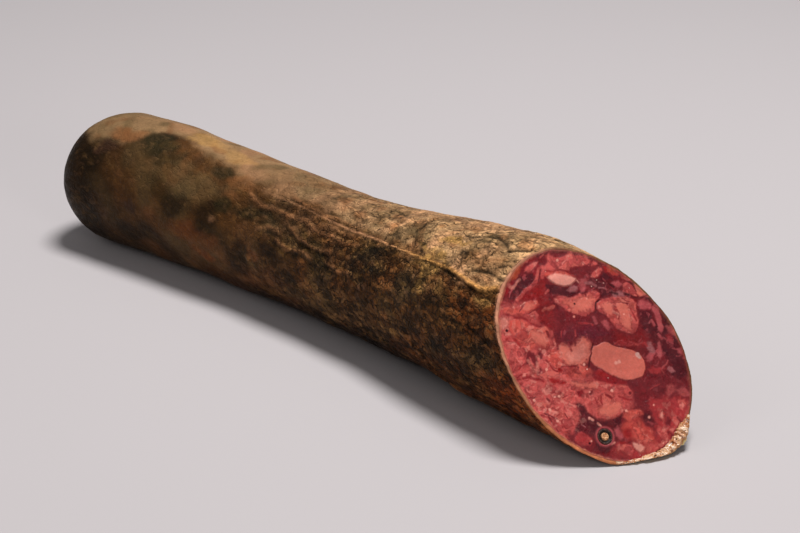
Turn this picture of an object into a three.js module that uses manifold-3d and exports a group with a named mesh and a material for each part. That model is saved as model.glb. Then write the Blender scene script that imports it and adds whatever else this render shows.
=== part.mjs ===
// A cured sausage, about half of a whole one, cut slantwise at its near end.
// It lies along X with its round blind end at -X and the cut at +X, and rests on a flat spot at z = 0.
// The sausage is one solid: the skin's two seams, the rim of skin round the cut, the frayed strip of
// skin under the cut and the larger lumps of fat are relief on it. The halved peppercorn that shows
// in the cut is a solid of its own, in a socket. All sizes are in millimetres and angles in degrees.

import * as THREE from "three";
import Module from "manifold-3d";
import { mergeVertices } from "three/addons/utils/BufferGeometryUtils.js";

// Driving sizes of the body.
const BODY_LENGTH = 253.6; // blind end's tip to the cut, measured along the middle
const CUT_RADIUS = 28;
const WAIST_RADIUS = 23.3;
const BULB_RADIUS = 24.9;
const TIP_DEPTH = 20.3; // how far the blind end's dome reaches
const BOW_SPAN = 273.6;
const BOW = 9.4; // the ends lie this far to one side of the middle
const SETTLE = 1; // how far the soft underside is pressed flat

// The cut slopes up and to one side: these are the parts of its normal for one part along X.
const CUT_SIDE = -0.44;
const CUT_RISE = 0.85;

// Skin at the cut.
const SKIN = 0.9;
const MEAT_RECESS = 0.3;
const FRAY = { middle: 256, half: 32, reach: 2.2, inner: 1.8, flare: 1.5, thicker: 1.1 };

// How finely the body is divided.
const COLUMNS = 88;
const TIP_RINGS = 8;
const BODY_RINGS = 32;
const SHEAR_START = 120; // from here on the rings lean over towards the slanting cut
const END_PASSES = 30;
const CROWDING = 0.55; // share by which the columns close up along the upper seam

const RADIANS = Math.PI / 180;

// Slow swellings of the skin: height, length of one wave along X, waves round the body, phase.
const SWELLINGS = [
  { height: 0.38, length: 61, around: 2, phase: 0 },
  { height: 0.26, length: 37, around: -3, phase: 1.1 },
  { height: 0.16, length: 29, around: 5, phase: 0.4 },
];

// The two seams, each from one place (x, angle) to another.
const SEAMS = [
  { from: [100, 62], to: [226, 39], height: 1.1, width: 1.3, fade: 45 },
  { from: [186, -18], to: [222, -52], height: 0.8, width: 1.8, fade: 14 },
];

// The larger lumps of fat in the cut: middle (u, v), half sizes and the long side's turn.
// u runs across the cut and v up its slope, from its middle.
const FAT_LUMPS = [
  { at: [8, -3.6], half: [8.4, 4.6], turn: -28 },
  { at: [-5.6, 1.6], half: [4.8, 4], turn: 15 },
  { at: [-0.6, 17], half: [7.2, 3.2], turn: -12 },
  { at: [11.6, 11.4], half: [8, 4.2], turn: -42 },
  { at: [-4.4, 25.2], half: [4.6, 1.9], turn: -8 },
  { at: [-0.8, 31], half: [7.4, 2.2], turn: -6 },
  { at: [-20.4, 9.4], half: [7.6, 4.6], turn: -24 },
  { at: [-24, 1.8], half: [3.2, 4.4], turn: 8 },
  { at: [0.6, -16], half: [6.2, 4], turn: 4 },
  { at: [-17, -8.4], half: [8.4, 2.8], turn: -14 },
  { at: [-14.4, -16.4], half: [5.4, 4.6], turn: 24 },
  { at: [8.4, -25.6], half: [3.2, 5.4], turn: 10 },
  { at: [16.2, 18.8], half: [4.2, 2], turn: -48 },
];
const LUMP_PROUD = 0.35;
const LUMP_SUNK = 0.12;
const LUMP_SIDES = 16;

// The peppercorn, cut through its middle.
const PEPPERCORN = { at: [-2.9, -24.8], radius: 2.4, core: 1.15, proud: 0.15, groove: 0.35 };
const SOCKET_GAP = 0.35;

function smooth(from, to, x) {
  return THREE.MathUtils.smoothstep(x, from, to);
}

// Radius of the body without its dome.
function girth(x) {
  const bulb = (BULB_RADIUS - WAIST_RADIUS) * (1 - smooth(38, 110, x));
  const flare = (CUT_RADIUS - WAIST_RADIUS) * smooth(138, 222, x);
  return WAIST_RADIUS + bulb + flare;
}

function dome(x) {
  const left = 1 - Math.min(x / TIP_DEPTH, 1);
  return Math.sqrt(1 - left * left);
}

// The middle line lies bowed, and its height follows the girth, so the underside stays level.
function middle(x) {
  return { y: -BOW * (2 * (x / BOW_SPAN) - 1) ** 2, z: girth(x) - SETTLE };
}

function swelling(x, angle) {
  return SWELLINGS.reduce(
    (sum, w) => sum + w.height * Math.sin((2 * Math.PI * x) / w.length + w.around * angle + w.phase),
    0,
  );
}

// The angle of a seam at x, and how far it has risen there.
function seamAngle(seam, x) {
  const share = (x - seam.from[0]) / (seam.to[0] - seam.from[0]);
  return THREE.MathUtils.lerp(seam.from[1], seam.to[1], share) * RADIANS;
}

function seamHeight(seam, x, angle) {
  const rise = smooth(seam.from[0], seam.from[0] + seam.fade, x);
  const off = Math.sin((angle - seamAngle(seam, x)) / 2) * 2 * girth(x);
  const near = Math.cos(angle - seamAngle(seam, x)) > 0;
  return near ? seam.height * rise * Math.exp(-((off / seam.width) ** 2)) : 0;
}

// A point of the skin: angle 0 is the -Y side and 90 degrees the top.
function skinPoint(x, angle, grow = 0) {
  const seams = SEAMS.reduce((sum, seam) => sum + seamHeight(seam, x, angle), 0);
  const radius = (girth(x) + swelling(x, angle) + seams + grow) * dome(x);
  const centre = middle(x);
  return new THREE.Vector3(
    x,
    centre.y - radius * Math.cos(angle),
    Math.max(centre.z + radius * Math.sin(angle), 0),
  );
}

// The cut's own frame: its middle, its normal, u across it and v up its slope.
const cutNormal = new THREE.Vector3(1, CUT_SIDE, CUT_RISE);
const cutAnchor = new THREE.Vector3(BODY_LENGTH, 0, middle(BODY_LENGTH).z);
const cutU = new THREE.Vector3(0, 0, 1).cross(cutNormal).normalize();
const cutOut = cutNormal.clone().normalize();
const cutV = cutOut.clone().cross(cutU);
const sideAtCut = middle(BODY_LENGTH).y;
const cutMiddle = new THREE.Vector3(BODY_LENGTH - CUT_SIDE * sideAtCut, sideAtCut, cutAnchor.z);

function onCut([u, v], out = 0) {
  return cutMiddle.clone().addScaledVector(cutU, u).addScaledVector(cutV, v).addScaledVector(cutOut, out);
}

// The angle of a column at x: columns crowd towards the upper seam and follow it along the body.
function columnAngle(column, x) {
  const even = (-2 * Math.PI * (column % COLUMNS)) / COLUMNS;
  return seamAngle(SEAMS[0], x) + even - CROWDING * Math.sin(even);
}

// Where a column of the skin meets the cut, found by closing in on it.
function columnEnd(column) {
  let x = BODY_LENGTH;
  let angle = 0;
  for (let pass = 0; pass < END_PASSES; pass += 1) {
    angle = columnAngle(column, x);
    const p = skinPoint(x, angle);
    x = BODY_LENGTH - CUT_SIDE * (p.y - cutAnchor.y) - CUT_RISE * (p.z - cutAnchor.z);
  }
  return { x, angle };
}

// From 0 to 1, how much the skin is frayed at this angle.
function frayed(angle) {
  const off = ((angle / RADIANS - FRAY.middle + 540) % 360) - 180;
  const window = Math.max(0, 1 - (off / FRAY.half) ** 2);
  return window * (0.72 + 0.28 * Math.sin(off * 0.93) * Math.sin(off * 0.41 + 1));
}

// The ring distances from the blind end's tip, closer together in its dome.
function ringStations() {
  const stations = [];
  for (let ring = 0; ring < TIP_RINGS; ring += 1) {
    stations.push(TIP_DEPTH * (1 - Math.cos((ring / TIP_RINGS) * 90 * RADIANS)));
  }
  for (let ring = 0; ring <= BODY_RINGS; ring += 1) {
    stations.push(THREE.MathUtils.lerp(TIP_DEPTH, BODY_LENGTH, ring / BODY_RINGS));
  }
  return stations;
}

// The rings of the cut, from the skin's outer edge to the middle:
// share is of the way out to the skin's inner edge, and out is how far the ring stands off the cut.
const CUT_RINGS = [
  { share: 0.995, out: -MEAT_RECESS },
  { share: 0.88, out: -MEAT_RECESS },
  { share: 0.68, out: -MEAT_RECESS },
  { share: 0.44, out: -MEAT_RECESS },
  { share: 0.2, out: -MEAT_RECESS },
  { share: 0, out: -MEAT_RECESS },
];

// The body: a lathe blank whose rings run from the tip to the cut and then to the cut's middle.
function bodyGeometry() {
  const stations = ringStations();
  const rings = stations.length + 1 + CUT_RINGS.length;
  const profile = Array.from({ length: rings }, (_, ring) => new THREE.Vector2(1, ring));
  const blank = new THREE.LatheGeometry(profile, COLUMNS);
  const position = blank.getAttribute("position");
  for (let column = 0; column <= COLUMNS; column += 1) {
    shapeColumn(position, column, stations, rings);
  }
  return blank;
}

function shapeColumn(position, column, stations, rings) {
  const end = columnEnd(column);
  const fray = frayed(end.angle);
  stations.forEach((station, ring) => {
    const late = Math.max(station - SHEAR_START, 0) / (BODY_LENGTH - SHEAR_START);
    const x = late > 0 ? THREE.MathUtils.lerp(SHEAR_START, end.x, late) : station;
    const last = ring === stations.length - 1 ? fray : 0;
    const point = skinPoint(x, columnAngle(column, x), FRAY.flare * last);
    point.addScaledVector(cutOut, FRAY.reach * last);
    position.setXYZ(column * rings + ring, ...point);
  });
  const inner = skinPoint(end.x, end.angle, -SKIN - FRAY.thicker * fray);
  const lip = inner.clone().addScaledVector(cutOut, FRAY.inner * fray);
  position.setXYZ(column * rings + stations.length, ...lip);
  CUT_RINGS.forEach((cutRing, i) => {
    const point = cutMiddle.clone().lerp(ontoCut(inner), cutRing.share).addScaledVector(cutOut, cutRing.out);
    position.setXYZ(column * rings + stations.length + 1 + i, ...point);
  });
}

function ontoCut(point) {
  const off = point.clone().sub(cutMiddle).dot(cutOut);
  return point.clone().addScaledVector(cutOut, -off);
}

// A lump of fat: a flat egg shape that is sunk a little into the cut.
function lumpGeometry({ at, half, turn }) {
  const geometry = new THREE.SphereGeometry(1, LUMP_SIDES, LUMP_SIDES / 2);
  geometry.rotateX(90 * RADIANS);
  geometry.scale(half[0], half[1], LUMP_PROUD + LUMP_SUNK);
  geometry.rotateZ(turn * RADIANS);
  geometry.applyMatrix4(cutFrame(onCut(at, -MEAT_RECESS - LUMP_SUNK)));
  return geometry;
}

// The matrix that stands a shape's Z along the cut's normal, at a point.
function cutFrame(point) {
  return new THREE.Matrix4().makeBasis(cutU, cutV, cutOut).setPosition(point);
}

// The half peppercorn: a bowl, with a groove round the pale core on its flat side.
function peppercornGeometry() {
  const { radius, core, proud, groove } = PEPPERCORN;
  const profile = [];
  for (let step = 0; step <= 7; step += 1) {
    const turn = (step / 7) * 90 * RADIANS;
    profile.push(new THREE.Vector2(radius * Math.sin(turn), -radius * Math.cos(turn)));
  }
  profile[0].x = 0;
  profile.push(new THREE.Vector2(radius * 0.93, proud));
  profile.push(new THREE.Vector2(radius * 0.72, proud * 0.6));
  profile.push(new THREE.Vector2(core * 1.2, proud - groove));
  profile.push(new THREE.Vector2(core, proud * 0.8));
  profile.push(new THREE.Vector2(core * 0.45, proud));
  profile.push(new THREE.Vector2(0, proud - groove * 0.7));
  const geometry = new THREE.LatheGeometry(profile, 24);
  geometry.rotateX(90 * RADIANS);
  geometry.applyMatrix4(cutFrame(onCut(PEPPERCORN.at, -MEAT_RECESS)));
  return geometry;
}

function socketGeometry() {
  const geometry = new THREE.SphereGeometry(PEPPERCORN.radius + SOCKET_GAP, 24, 16);
  geometry.applyMatrix4(cutFrame(onCut(PEPPERCORN.at, -MEAT_RECESS)));
  return geometry;
}

const wasm = await Module();
wasm.setup();

// A closed mesh as a solid that can be joined and cut.
function toSolid(geometry) {
  const bare = geometry.clone();
  bare.deleteAttribute("normal");
  bare.deleteAttribute("uv");
  const merged = mergeVertices(bare, 1e-3);
  return new wasm.Manifold(
    new wasm.Mesh({
      numProp: 3,
      vertProperties: merged.getAttribute("position").array,
      triVerts: new Uint32Array(merged.index.array),
    }),
  );
}

function fromSolid(solid) {
  const mesh = solid.getMesh();
  const geometry = new THREE.BufferGeometry();
  geometry.setAttribute("position", new THREE.BufferAttribute(mesh.vertProperties, 3));
  geometry.setIndex(new THREE.BufferAttribute(mesh.triVerts, 1));
  geometry.computeVertexNormals();
  return geometry;
}

function sausageGeometry() {
  let solid = toSolid(bodyGeometry());
  for (const lump of FAT_LUMPS) solid = solid.add(toSolid(lumpGeometry(lump)));
  return fromSolid(solid.subtract(toSolid(socketGeometry())));
}

// Looks.
const agedSkin = new THREE.MeshStandardMaterial({ color: 0x5e452c, roughness: 0.72, metalness: 0 });
const pepperHusk = new THREE.MeshStandardMaterial({ color: 0x2a211b, roughness: 0.55, metalness: 0 });

const sausage = new THREE.Mesh(sausageGeometry(), agedSkin);
sausage.name = "sausage";

const peppercorn = new THREE.Mesh(peppercornGeometry(), pepperHusk);
peppercorn.name = "peppercorn";

// The origin is under the middle of the whole, on the surface that it lies on.
const box = new THREE.Box3().setFromBufferAttribute(sausage.geometry.getAttribute("position"));
const whole = new THREE.Group();
whole.add(sausage, peppercorn);
whole.position.set(-(box.min.x + box.max.x) / 2, -(box.min.y + box.max.y) / 2, -box.min.z);

export default whole;
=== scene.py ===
"""The looks of a halved cured sausage: dried skin, cut meat, a peppercorn and a frayed strip of skin.

Working sizes are in millimetres from the blind end's tip along the sausage; meshes are in metres.
An angle on the skin is 0 on the -Y side and 90 degrees on top. On the cut, u runs across it and
v up its slope, from its middle.
"""

import math

import bmesh
import bpy
import numpy as np
from bpy.props import FloatProperty, FloatVectorProperty, IntProperty, PointerProperty
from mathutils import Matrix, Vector, noise


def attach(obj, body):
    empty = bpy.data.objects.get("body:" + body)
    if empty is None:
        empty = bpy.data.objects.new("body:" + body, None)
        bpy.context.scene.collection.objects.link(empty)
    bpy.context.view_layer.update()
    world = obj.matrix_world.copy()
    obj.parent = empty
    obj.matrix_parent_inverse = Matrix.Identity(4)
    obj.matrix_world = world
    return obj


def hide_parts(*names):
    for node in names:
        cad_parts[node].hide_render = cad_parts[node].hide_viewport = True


bl_info = {
    "name": "Cured sausage",
    "version": (1, 0, 0),
    "blender": (4, 5, 0),
    "location": "View3D > Sidebar > Sausage",
    "description": "Builds the dried skin and the cut meat of a halved cured sausage",
    "category": "Mesh",
}

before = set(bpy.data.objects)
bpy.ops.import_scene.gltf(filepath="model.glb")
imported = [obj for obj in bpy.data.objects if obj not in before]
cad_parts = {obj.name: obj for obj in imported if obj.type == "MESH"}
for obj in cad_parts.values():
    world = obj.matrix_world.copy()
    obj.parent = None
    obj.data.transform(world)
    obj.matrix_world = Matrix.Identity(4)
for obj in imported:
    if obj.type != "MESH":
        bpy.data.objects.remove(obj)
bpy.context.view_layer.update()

MM = 0.001
TIP = min((v.co.copy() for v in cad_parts["sausage"].data.vertices), key=lambda co: co.x)

# Blender starts the noise for directions from the clock, so it is given this seed each time it is used.
NOISE_SEED = 5

# The body's form, as in the solids, in mm.
BODY_LENGTH = 253.6
CUT_RADIUS = 28.0
WAIST_RADIUS = 23.3
BULB_RADIUS = 24.9
# Where the body narrows behind the blind end, and where it widens towards the cut.
NARROWS = (38, 110)
WIDENS = (138, 222)
TIP_DEPTH = 20.3
BOW_SPAN = 273.6
BOW = 9.4
# How deep the underside is pressed flat, how softly that starts, and how far it then gives way.
SETTLE = 1.0
PRESS_SOFTNESS = 1.0
PRESS_GIVE = 0.2
# How the cut slants, to the side and upwards, and where the rings of faces start to lean into it.
CUT_SIDE = -0.44
CUT_RISE = 0.85
CUT_STEPS = 40
SHEAR_START = 120.0
MEAT_RECESS = 0.3
# The slow swellings along the body: height, wave length, turns round the body and phase of each.
SWELL = 0.55
SWELLINGS = ((0.38, 61, 2, 0.0), (0.26, 37, -3, 1.1), (0.16, 29, 5, 0.4))
# The rings of faces along the skin: those in the dome, and how much closer they stand towards the cut.
DOME_RINGS = 26
RING_CROWDING = 0.32
# Across the cut edge of the skin and down its inner wall: share of the thickness, height off the cut, how
# many of these steps are ragged, and the lowest height of a step over the floor.
RIM_ACROSS = (0, 0.1, 0.35, 0.65, 0.9, 1.0, 1.0, 1.0, 1.0)
RIM_CROWN = (0, 0.1, 0.14, 0.1, -0.02, -0.4, -1.6, -2.6, -2.8)
RIM_RAGGED_STEPS = 5
RIM_LOWEST = 0.25
RIM_LOWEST_STEP = 0.05
# The meat: how far it reaches under the skin, and its back's depth, share of the width and lowest height.
MEAT_UNDER_SKIN = 0.12
MEAT_DEPTH = 2.2
MEAT_BACK = 0.985
MEAT_LOWEST = 0.7
# The torn strip: angles where it starts and ends, faces along and across it, its length, width and
# thickness, and the lowest heights of its upper and under side.
FRAY_FROM = 221
FRAY_TO = 287
FRAY_FACES = (340, 36)
FRAY_LENGTH = 42
FRAY_WIDTH = 5.4
FRAY_THICKNESS = 0.3
FRAY_LOWEST = (0.3, 0.06)
# The peppercorn: its place on the cut, radius, depth as a share of that, and profile from the rim inwards.
PEPPERCORN_AT = (-2.9, -24.8)
PEPPERCORN_RADIUS = 2.4
PEPPERCORN_DEPTH = 0.7
PEPPERCORN_STEPS = 72
PEPPERCORN_PROFILE = (
    (2.34, 0.12), (2.16, 0.2), (1.9, 0.14), (1.6, -0.05), (1.38, -0.3), (1.28, -0.32), (1.2, -0.08),
    (1.06, 0.1), (0.8, 0.16), (0.5, 0.12), (0.25, 0.02), (0.0, -0.02),
)

# The stage, in metres and watts. Each light: name, place, aim, size, power and tint.
LIGHTS = (
    ("key", (0.1, 0.17, 1.26), (0.03, 0, 0.02), 0.44, 18.0, (1, 0.985, 0.96)),
    ("side", (1.25, -0.35, 0.42), (0.1, 0, 0.02), 0.4, 2.9, (1, 0.97, 0.94)),
    ("front", (-0.3, -1.0, 0.9), (0, 0, 0.02), 0.8, 1.3, (1, 0.96, 0.92)),
)
SURROUND_TINT = (1, 0.97, 0.97, 1)
SURROUND_STRENGTH = 0.15
FLOOR_HALF = 4
FLOOR_DROP = 0.0002
FLOOR_SHADE = (187, 182, 185)
FLOOR_ROUGHNESS = 0.85
# The camera: degrees round from the front and up, metres from its aim, which is in mm from the tip.
CAMERA_AZIMUTH = 45.48
CAMERA_ELEVATION = 23
CAMERA_DISTANCE = 0.7
CAMERA_AIM = (159.0, 0.0, 27.88 - SETTLE)
CAMERA_LENS = 93.77
CAMERA_SENSOR = 36
CAMERA_NEAREST = 0.01

# The seams' paths over the skin: distance from the tip and angle.
UPPER_SEAM = (
    (92, 60), (123, 58), (142, 55.5), (150, 54), (160, 52.4), (168, 51), (178, 48.6), (190, 46.6),
    (200, 45.6), (208, 43), (214, 40.6), (219, 39.4), (223, 41.8), (227, 46.5),
)
LOWER_SEAM = ((178, -2), (186, -8), (190, -13), (196, -24), (200, -43.5), (212, -53), (226, -57), (246, -60))

# Where the light top of the skin ends and its dark side starts.
TOP_EDGE = (
    (0, 58), (20, 52), (38, 57), (46, 76), (56, 80), (70, 75), (84, 69), (100, 64), (115, 60), (130, 55),
    (150, 53), (170, 50), (190, 46.5), (212, 40), (226, 45), (246, 48),
)

# How much of each colour the near side gains towards the cut.
SIDE_GAIN = (0.62, 0.46, 0.2)
# How much it gains more low down, next to the cut.
RIM_WARMTH = (0.36, 0.04, -0.26)

# Soft patches of colour on the skin: a shade, the middle's distance from the tip and angle, how far the
# patch reaches along and round, in mm and degrees, and how strong it is.
PATCHES = (
    ("olive", (13, 94), (9, 13), 0.45), ("warm", (34, 63), (8, 8), 0.65), ("dusk", (27, 47), (5, 5), 0.7),
    ("moss", (49, 65), (6, 12), 0.95), ("moss", (59, 52), (6, 9), 0.7), ("ochre", (62, 90), (8, 8), 0.5),
    ("moss", (82, 64), (6, 8), 0.8), ("ochre", (81, 88), (9, 8), 0.36),
    ("olive", (72, 42), (13, 13), 0.6), ("brown", (63, 44), (5, 5), 0.5), ("moss", (60, 28), (9, 8), 0.5),
    ("pinkish", (90, 22), (2.4, 4), 0.4), ("warm", (94, 60), (7, 7), 0.45),
    ("moss", (94, 34), (4, 6), 0.85), ("moss", (108, 37), (9, 5), 0.85),
    ("warm", (110, 6), (3.4, 6), 0.9), ("brown", (115, 21), (5, 7), 0.7), ("dark", (84, 10), (3, 5), 0.6),
    ("dark", (104, 8), (2.6, 8), 0.6), ("dusk", (47, 2), (4, 8), 0.8), ("rust", (84, -14), (6, 5), 0.55),
    ("rust", (80, 0), (12, 8), 0.35), ("warm", (128, -22), (12, 8), 0.4),
    ("warm", (120, 92), (9, 9), 0.35), ("pinkish", (132, 47), (15, 9), 0.2),
    ("warm", (143, 36), (10, 8), 0.25), ("olive", (124, 31), (12, 8), 0.5),
    ("moss", (136, 20), (9, 5), 0.6), ("moss", (120, 42), (5, 4), 0.6),
    ("olive", (158, 84), (10, 8), 0.4), ("moss", (206, 86), (5, 3), 0.5),
    ("warm", (222, 62), (6, 8), 0.3), ("olive", (176, 66), (7, 11), 0.6),
    ("moss", (183, 54), (4, 3.4), 0.8), ("moss", (164, 41), (6, 5), 0.9),
    ("moss", (169, 33), (4, 5), 0.7), ("ochre", (196, 67), (5, 6), 1.0),
    ("ochre", (195, 38), (5.4, 9), 1.0), ("warm", (200, 31), (8, 6), 0.85),
    ("ochre", (224, 34), (3.4, 6), 0.8), ("ochre", (188, 52), (6, 3), 0.6),
    ("warm", (213, 60), (10, 8), 0.45), ("brown", (207, 55), (10, 6), 0.4),
    ("pinkish", (190, 100), (32, 9), 0.5), ("olive", (184, 24), (5, 8), 0.6),
    ("dark", (202, 21), (5, 5), 0.75), ("dark", (190, 2), (6, 8), 0.65),
    ("pinkish", (165, 10), (1.8, 2), 0.7), ("dusk", (160, 34), (9, 8), 0.4),
    ("pinkish", (152, 12), (2, 3), 0.35), ("olive", (160, -8), (13, 8), 0.4),
    ("rust", (217, 26), (8, 9), 0.7), ("rust", (230, 20), (7, 16), 0.8),
    ("olive", (224, -8), (10, 7), 0.45), ("warm", (203, 33), (8, 4), 0.8),
    ("dark", (116, 38), (15, 12), 0.35), ("olive", (112, 86), (18, 15), 0.35),
    ("olive", (152, -22), (30, 8), 0.55), ("ochre", (184, -12), (7, 5), 0.35),
    ("rust", (240, -24), (13, 17), 1.0), ("rust", (228, -44), (16, 12), 0.8),
    ("warm", (248, -40), (6, 12), 0.8), ("dark", (172, -28), (9, 8), 0.3),
    ("olive", (70, 232), (26, 22), 0.4), ("ochre", (150, 150), (22, 16), 0.5),
    ("moss", (110, 178), (16, 14), 0.6), ("warm", (190, 196), (14, 14), 0.5),
    ("dark", (205, 168), (10, 14), 0.5), ("moss", (36, 150), (12, 20), 0.6),
    ("ochre", (193.5, 39), (5.4, 9), 0.85), ("warm", (199, 33), (6, 7), 0.7),
    ("ochre", (202, 31), (3, 4), 0.5),
)

# Deep cracks and raised folds of the skin: the points they run through, each a distance from the tip and an
# angle, then half their width and their depth or height in mm.
SKIN_CRACKS = (
    ((
        (198, 76), (201, 75.5), (203, 78), (206, 80.5), (210, 82), (213, 80), (215, 78.5), (218.5, 73.6),
    ), 0.34, 0.42),
    (((219, 74), (221, 76.5), (223, 78), (225, 82), (228, 83.5)), 0.36, 0.42),
    (((212, 50), (215, 51.5), (218, 53), (221, 52.6), (224, 51.2), (227, 51.6)), 0.34, 0.45),
    (((178.4, 84), (177.2, 79), (178.2, 73), (177.6, 68), (180, 62), (181.4, 57)), 0.26, 0.2),
    (((204, 62), (202.6, 60), (203, 57.4)), 0.3, 0.3),
    (((225, 63), (221, 60), (219.6, 57)), 0.26, 0.25),
    (((187, -12), (190, -17), (193, -19), (197, -20)), 0.3, 0.3),
    (((206, 88), (208.6, 91), (210, 95)), 0.34, 0.3),
    (((212, 14), (218, 15.4), (224, 14), (229, 10)), 0.26, 0.25),
    (((186, 60), (184.4, 55), (187, 51.4)), 0.26, 0.2),
)
SKIN_FOLDS = (
    ((
        (100, 53), (104, 49), (108, 46.6), (116, 48), (125, 46.4), (130, 49), (133, 55), (141, 60),
    ), 0.8, 0.6),
    (((118, 64), (128, 60.4), (136, 59), (144, 60.6), (151, 57)), 0.6, 0.5),
    (((125, 38), (131, 32), (138, 29), (146, 30.6)), 0.8, 0.6),
    (((121, 24), (127, 20), (134, 23), (139, 20)), 0.9, 0.5),
    (((131, 46), (138, 42), (144, 44), (150, 41), (158, 43)), 0.7, 0.55),
    (((110, 27), (116, 32), (122, 30)), 0.9, 0.5),
    (((142, 52), (147, 49), (152, 50)), 0.6, 0.45),
    (((146, 22), (152, 18), (158, 20)), 0.7, 0.4),
    (((140, 76), (150, 71), (158, 68), (166, 70)), 0.8, 0.4),
    (((160, 84), (168, 78), (174, 76)), 0.8, 0.4),
    (((186, 72), (192, 76), (199, 73)), 0.7, 0.35),
    (((212, 46.4), (217, 47), (222, 48.6), (227, 49)), 1.0, 0.35),
    (((206, 70), (211, 72), (216, 71)), 0.9, 0.3),
    (((184, 92), (192, 88), (200, 90)), 0.8, 0.35),
)


def srgb(red, green, blue):
    """A colour as seen on screen, 0 to 255 each, made linear."""
    return tuple(
        c / 255 / 12.92 if c / 255 <= 0.04045 else ((c / 255 + 0.055) / 1.055) ** 2.4
        for c in (red, green, blue)
    )


def colour(name, description, shade):
    """A property for a colour as seen on screen."""
    return FloatVectorProperty(
        name=name, description=description, subtype="COLOR", size=3, min=0, max=1, default=srgb(*shade)
    )


def length(name, description, millimetres):
    """A property for a length."""
    return FloatProperty(
        name=name, description=description, unit="LENGTH", precision=5, default=millimetres * MM
    )


class SausageSkinSettings(bpy.types.PropertyGroup):
    """Sizes and colours of the dried skin."""

    columns: IntProperty(name="Columns", description="Faces round the skin", default=300, min=40, max=400)
    rings: IntProperty(name="Rings", description="Rings of faces along it", default=268, min=40, max=400)
    rim: length("Rim", "Thickness of the skin where it is cut", 0.95)
    wrinkle: length("Wrinkle", "Depth of the broad wrinkles", 0.26)
    crease: length("Crease", "Depth of the fine creases", 0.2)
    seam: length("Seam", "Height of the upper seam", 1.0)
    tan: colour("Tan", "Light brown of the top", (172, 134, 95))
    brown: colour("Brown", "Main brown of the sides", (94, 60, 29))
    dark: colour("Dark brown", "Darkest brown of the skin", (27, 17, 7))
    ochre: colour("Ochre", "Dry yellow-brown patches", (204, 154, 88))
    warm: colour("Warm brown", "Orange-brown patches", (142, 88, 50))
    rust: colour("Rust", "Red-brown parts towards the cut", (132, 64, 22))
    olive: colour("Olive", "Dull green-brown patches", (104, 84, 54))
    moss: colour("Moss", "Green-black patches", (46, 39, 20))
    pinkish: colour("Pinkish", "Pinkish-brown smears", (190, 136, 98))
    dusk: colour("Dusk", "Dull red-brown smears", (66, 42, 30))
    rim_pale: colour("Pale rim", "Cut edge of the skin on the left", (200, 138, 110))
    rim_orange: colour("Orange rim", "Cut edge of the skin at the lower left", (184, 110, 74))
    rim_dull: colour("Dull rim", "Cut edge of the skin on the right", (112, 78, 50))


class SausageMeatSettings(bpy.types.PropertyGroup):
    """Sizes and colours of the cut meat."""

    across: IntProperty(name="Across", description="Faces across the cut", default=292, min=40, max=300)
    relief: length("Relief", "How far the fat stands above the lean", 0.14)
    lean: colour("Lean", "Burgundy lean", (112, 30, 36))
    dark: colour("Dark lean", "Darkest lean", (80, 22, 30))
    plum: colour("Plum", "Purple lean in the middle", (104, 30, 42))
    wine: colour("Wine", "Wine-red lean between the fat", (134, 28, 34))
    red: colour("Red", "Red lean", (134, 29, 32))
    rose: colour("Rose", "Red and fat mixed", (164, 52, 54))
    pink: colour("Pink", "Pink fat", (198, 84, 80))
    salmon: colour("Salmon", "Clean lumps of fat", (208, 106, 92))
    coral: colour("Coral", "Orange-red fat", (206, 84, 74))
    dusky: colour("Dusky", "Dusky pink lumps in the lean", (170, 74, 78))
    pale: colour("Pale", "Pale specks of fat", (224, 146, 132))
    stain: colour("Stain", "Spots stained orange", (208, 96, 56))


# Working out the form.


def smooth(low, high, x):
    """A soft step from 0 to 1 between low and high, or from 1 to 0 if low is the larger."""
    t = np.clip((np.asarray(x, float) - low) / (high - low), 0, 1)
    return t * t * (3 - 2 * t)


def bell(off, width):
    """1 where off is 0, fading smoothly on both sides."""
    return np.exp(-((off / width) ** 2))


def turned_degrees(angle):
    """An angle in radians as degrees from -90 to 270, so that it jumps on the underside."""
    return np.degrees(np.angle(np.exp(1j * (angle - np.pi / 2)))) + 90


def girth(x):
    """The body's radius at a distance from the tip."""
    bulb = (BULB_RADIUS - WAIST_RADIUS) * (1 - smooth(*NARROWS, x))
    return WAIST_RADIUS + bulb + (CUT_RADIUS - WAIST_RADIUS) * smooth(*WIDENS, x)


def dome(x):
    """Share of the radius that the rounded blind end leaves, 0 at the tip."""
    left = 1 - np.clip(x / TIP_DEPTH, 0, 1)
    return np.sqrt(1 - left * left)


def middle(x):
    """The y and z of the body's bowed middle line."""
    return -BOW * (2 * (x / BOW_SPAN) - 1) ** 2, girth(x) - SETTLE


def swelling(x, angle):
    """Height of the slow swellings along the body."""
    waves = (
        height * np.sin(2 * np.pi * x / wave + turns * angle + phase)
        for height, wave, turns, phase in SWELLINGS
    )
    return SWELL * sum(waves)


def seam_offset(path, x, angle):
    """Distance in mm round the skin from a seam, and how far along it x lies, from 0 to 1."""
    xs, angles = np.array(path, float).T
    at = np.interp(x, xs, np.radians(angles))
    off = np.angle(np.exp(1j * (angle - at))) * girth(x)
    return off, (x - xs[0]) / (xs[-1] - xs[0])


def scaled(points, size, seed, aside):
    """Points in mm as rows for the noise, scaled to its bumps and moved aside once more for each seed."""
    return (np.asarray(points, float) / size + np.array(aside) * (seed + 1)).tolist()


def grain(points, size, seed):
    """Smooth noise from -1 to 1 at points in mm, with bumps about size mm across."""
    return np.array([noise.noise(p) for p in scaled(points, size, seed, (17.31, 5.77, 11.93))])


def drift(points, size, seed):
    """Noise that gives a direction at each point."""
    noise.seed_set(NOISE_SEED)
    return np.array([tuple(noise.noise_vector(p)) for p in scaled(points, size, seed, (3.17, 15.71, 7.39))])


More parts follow.
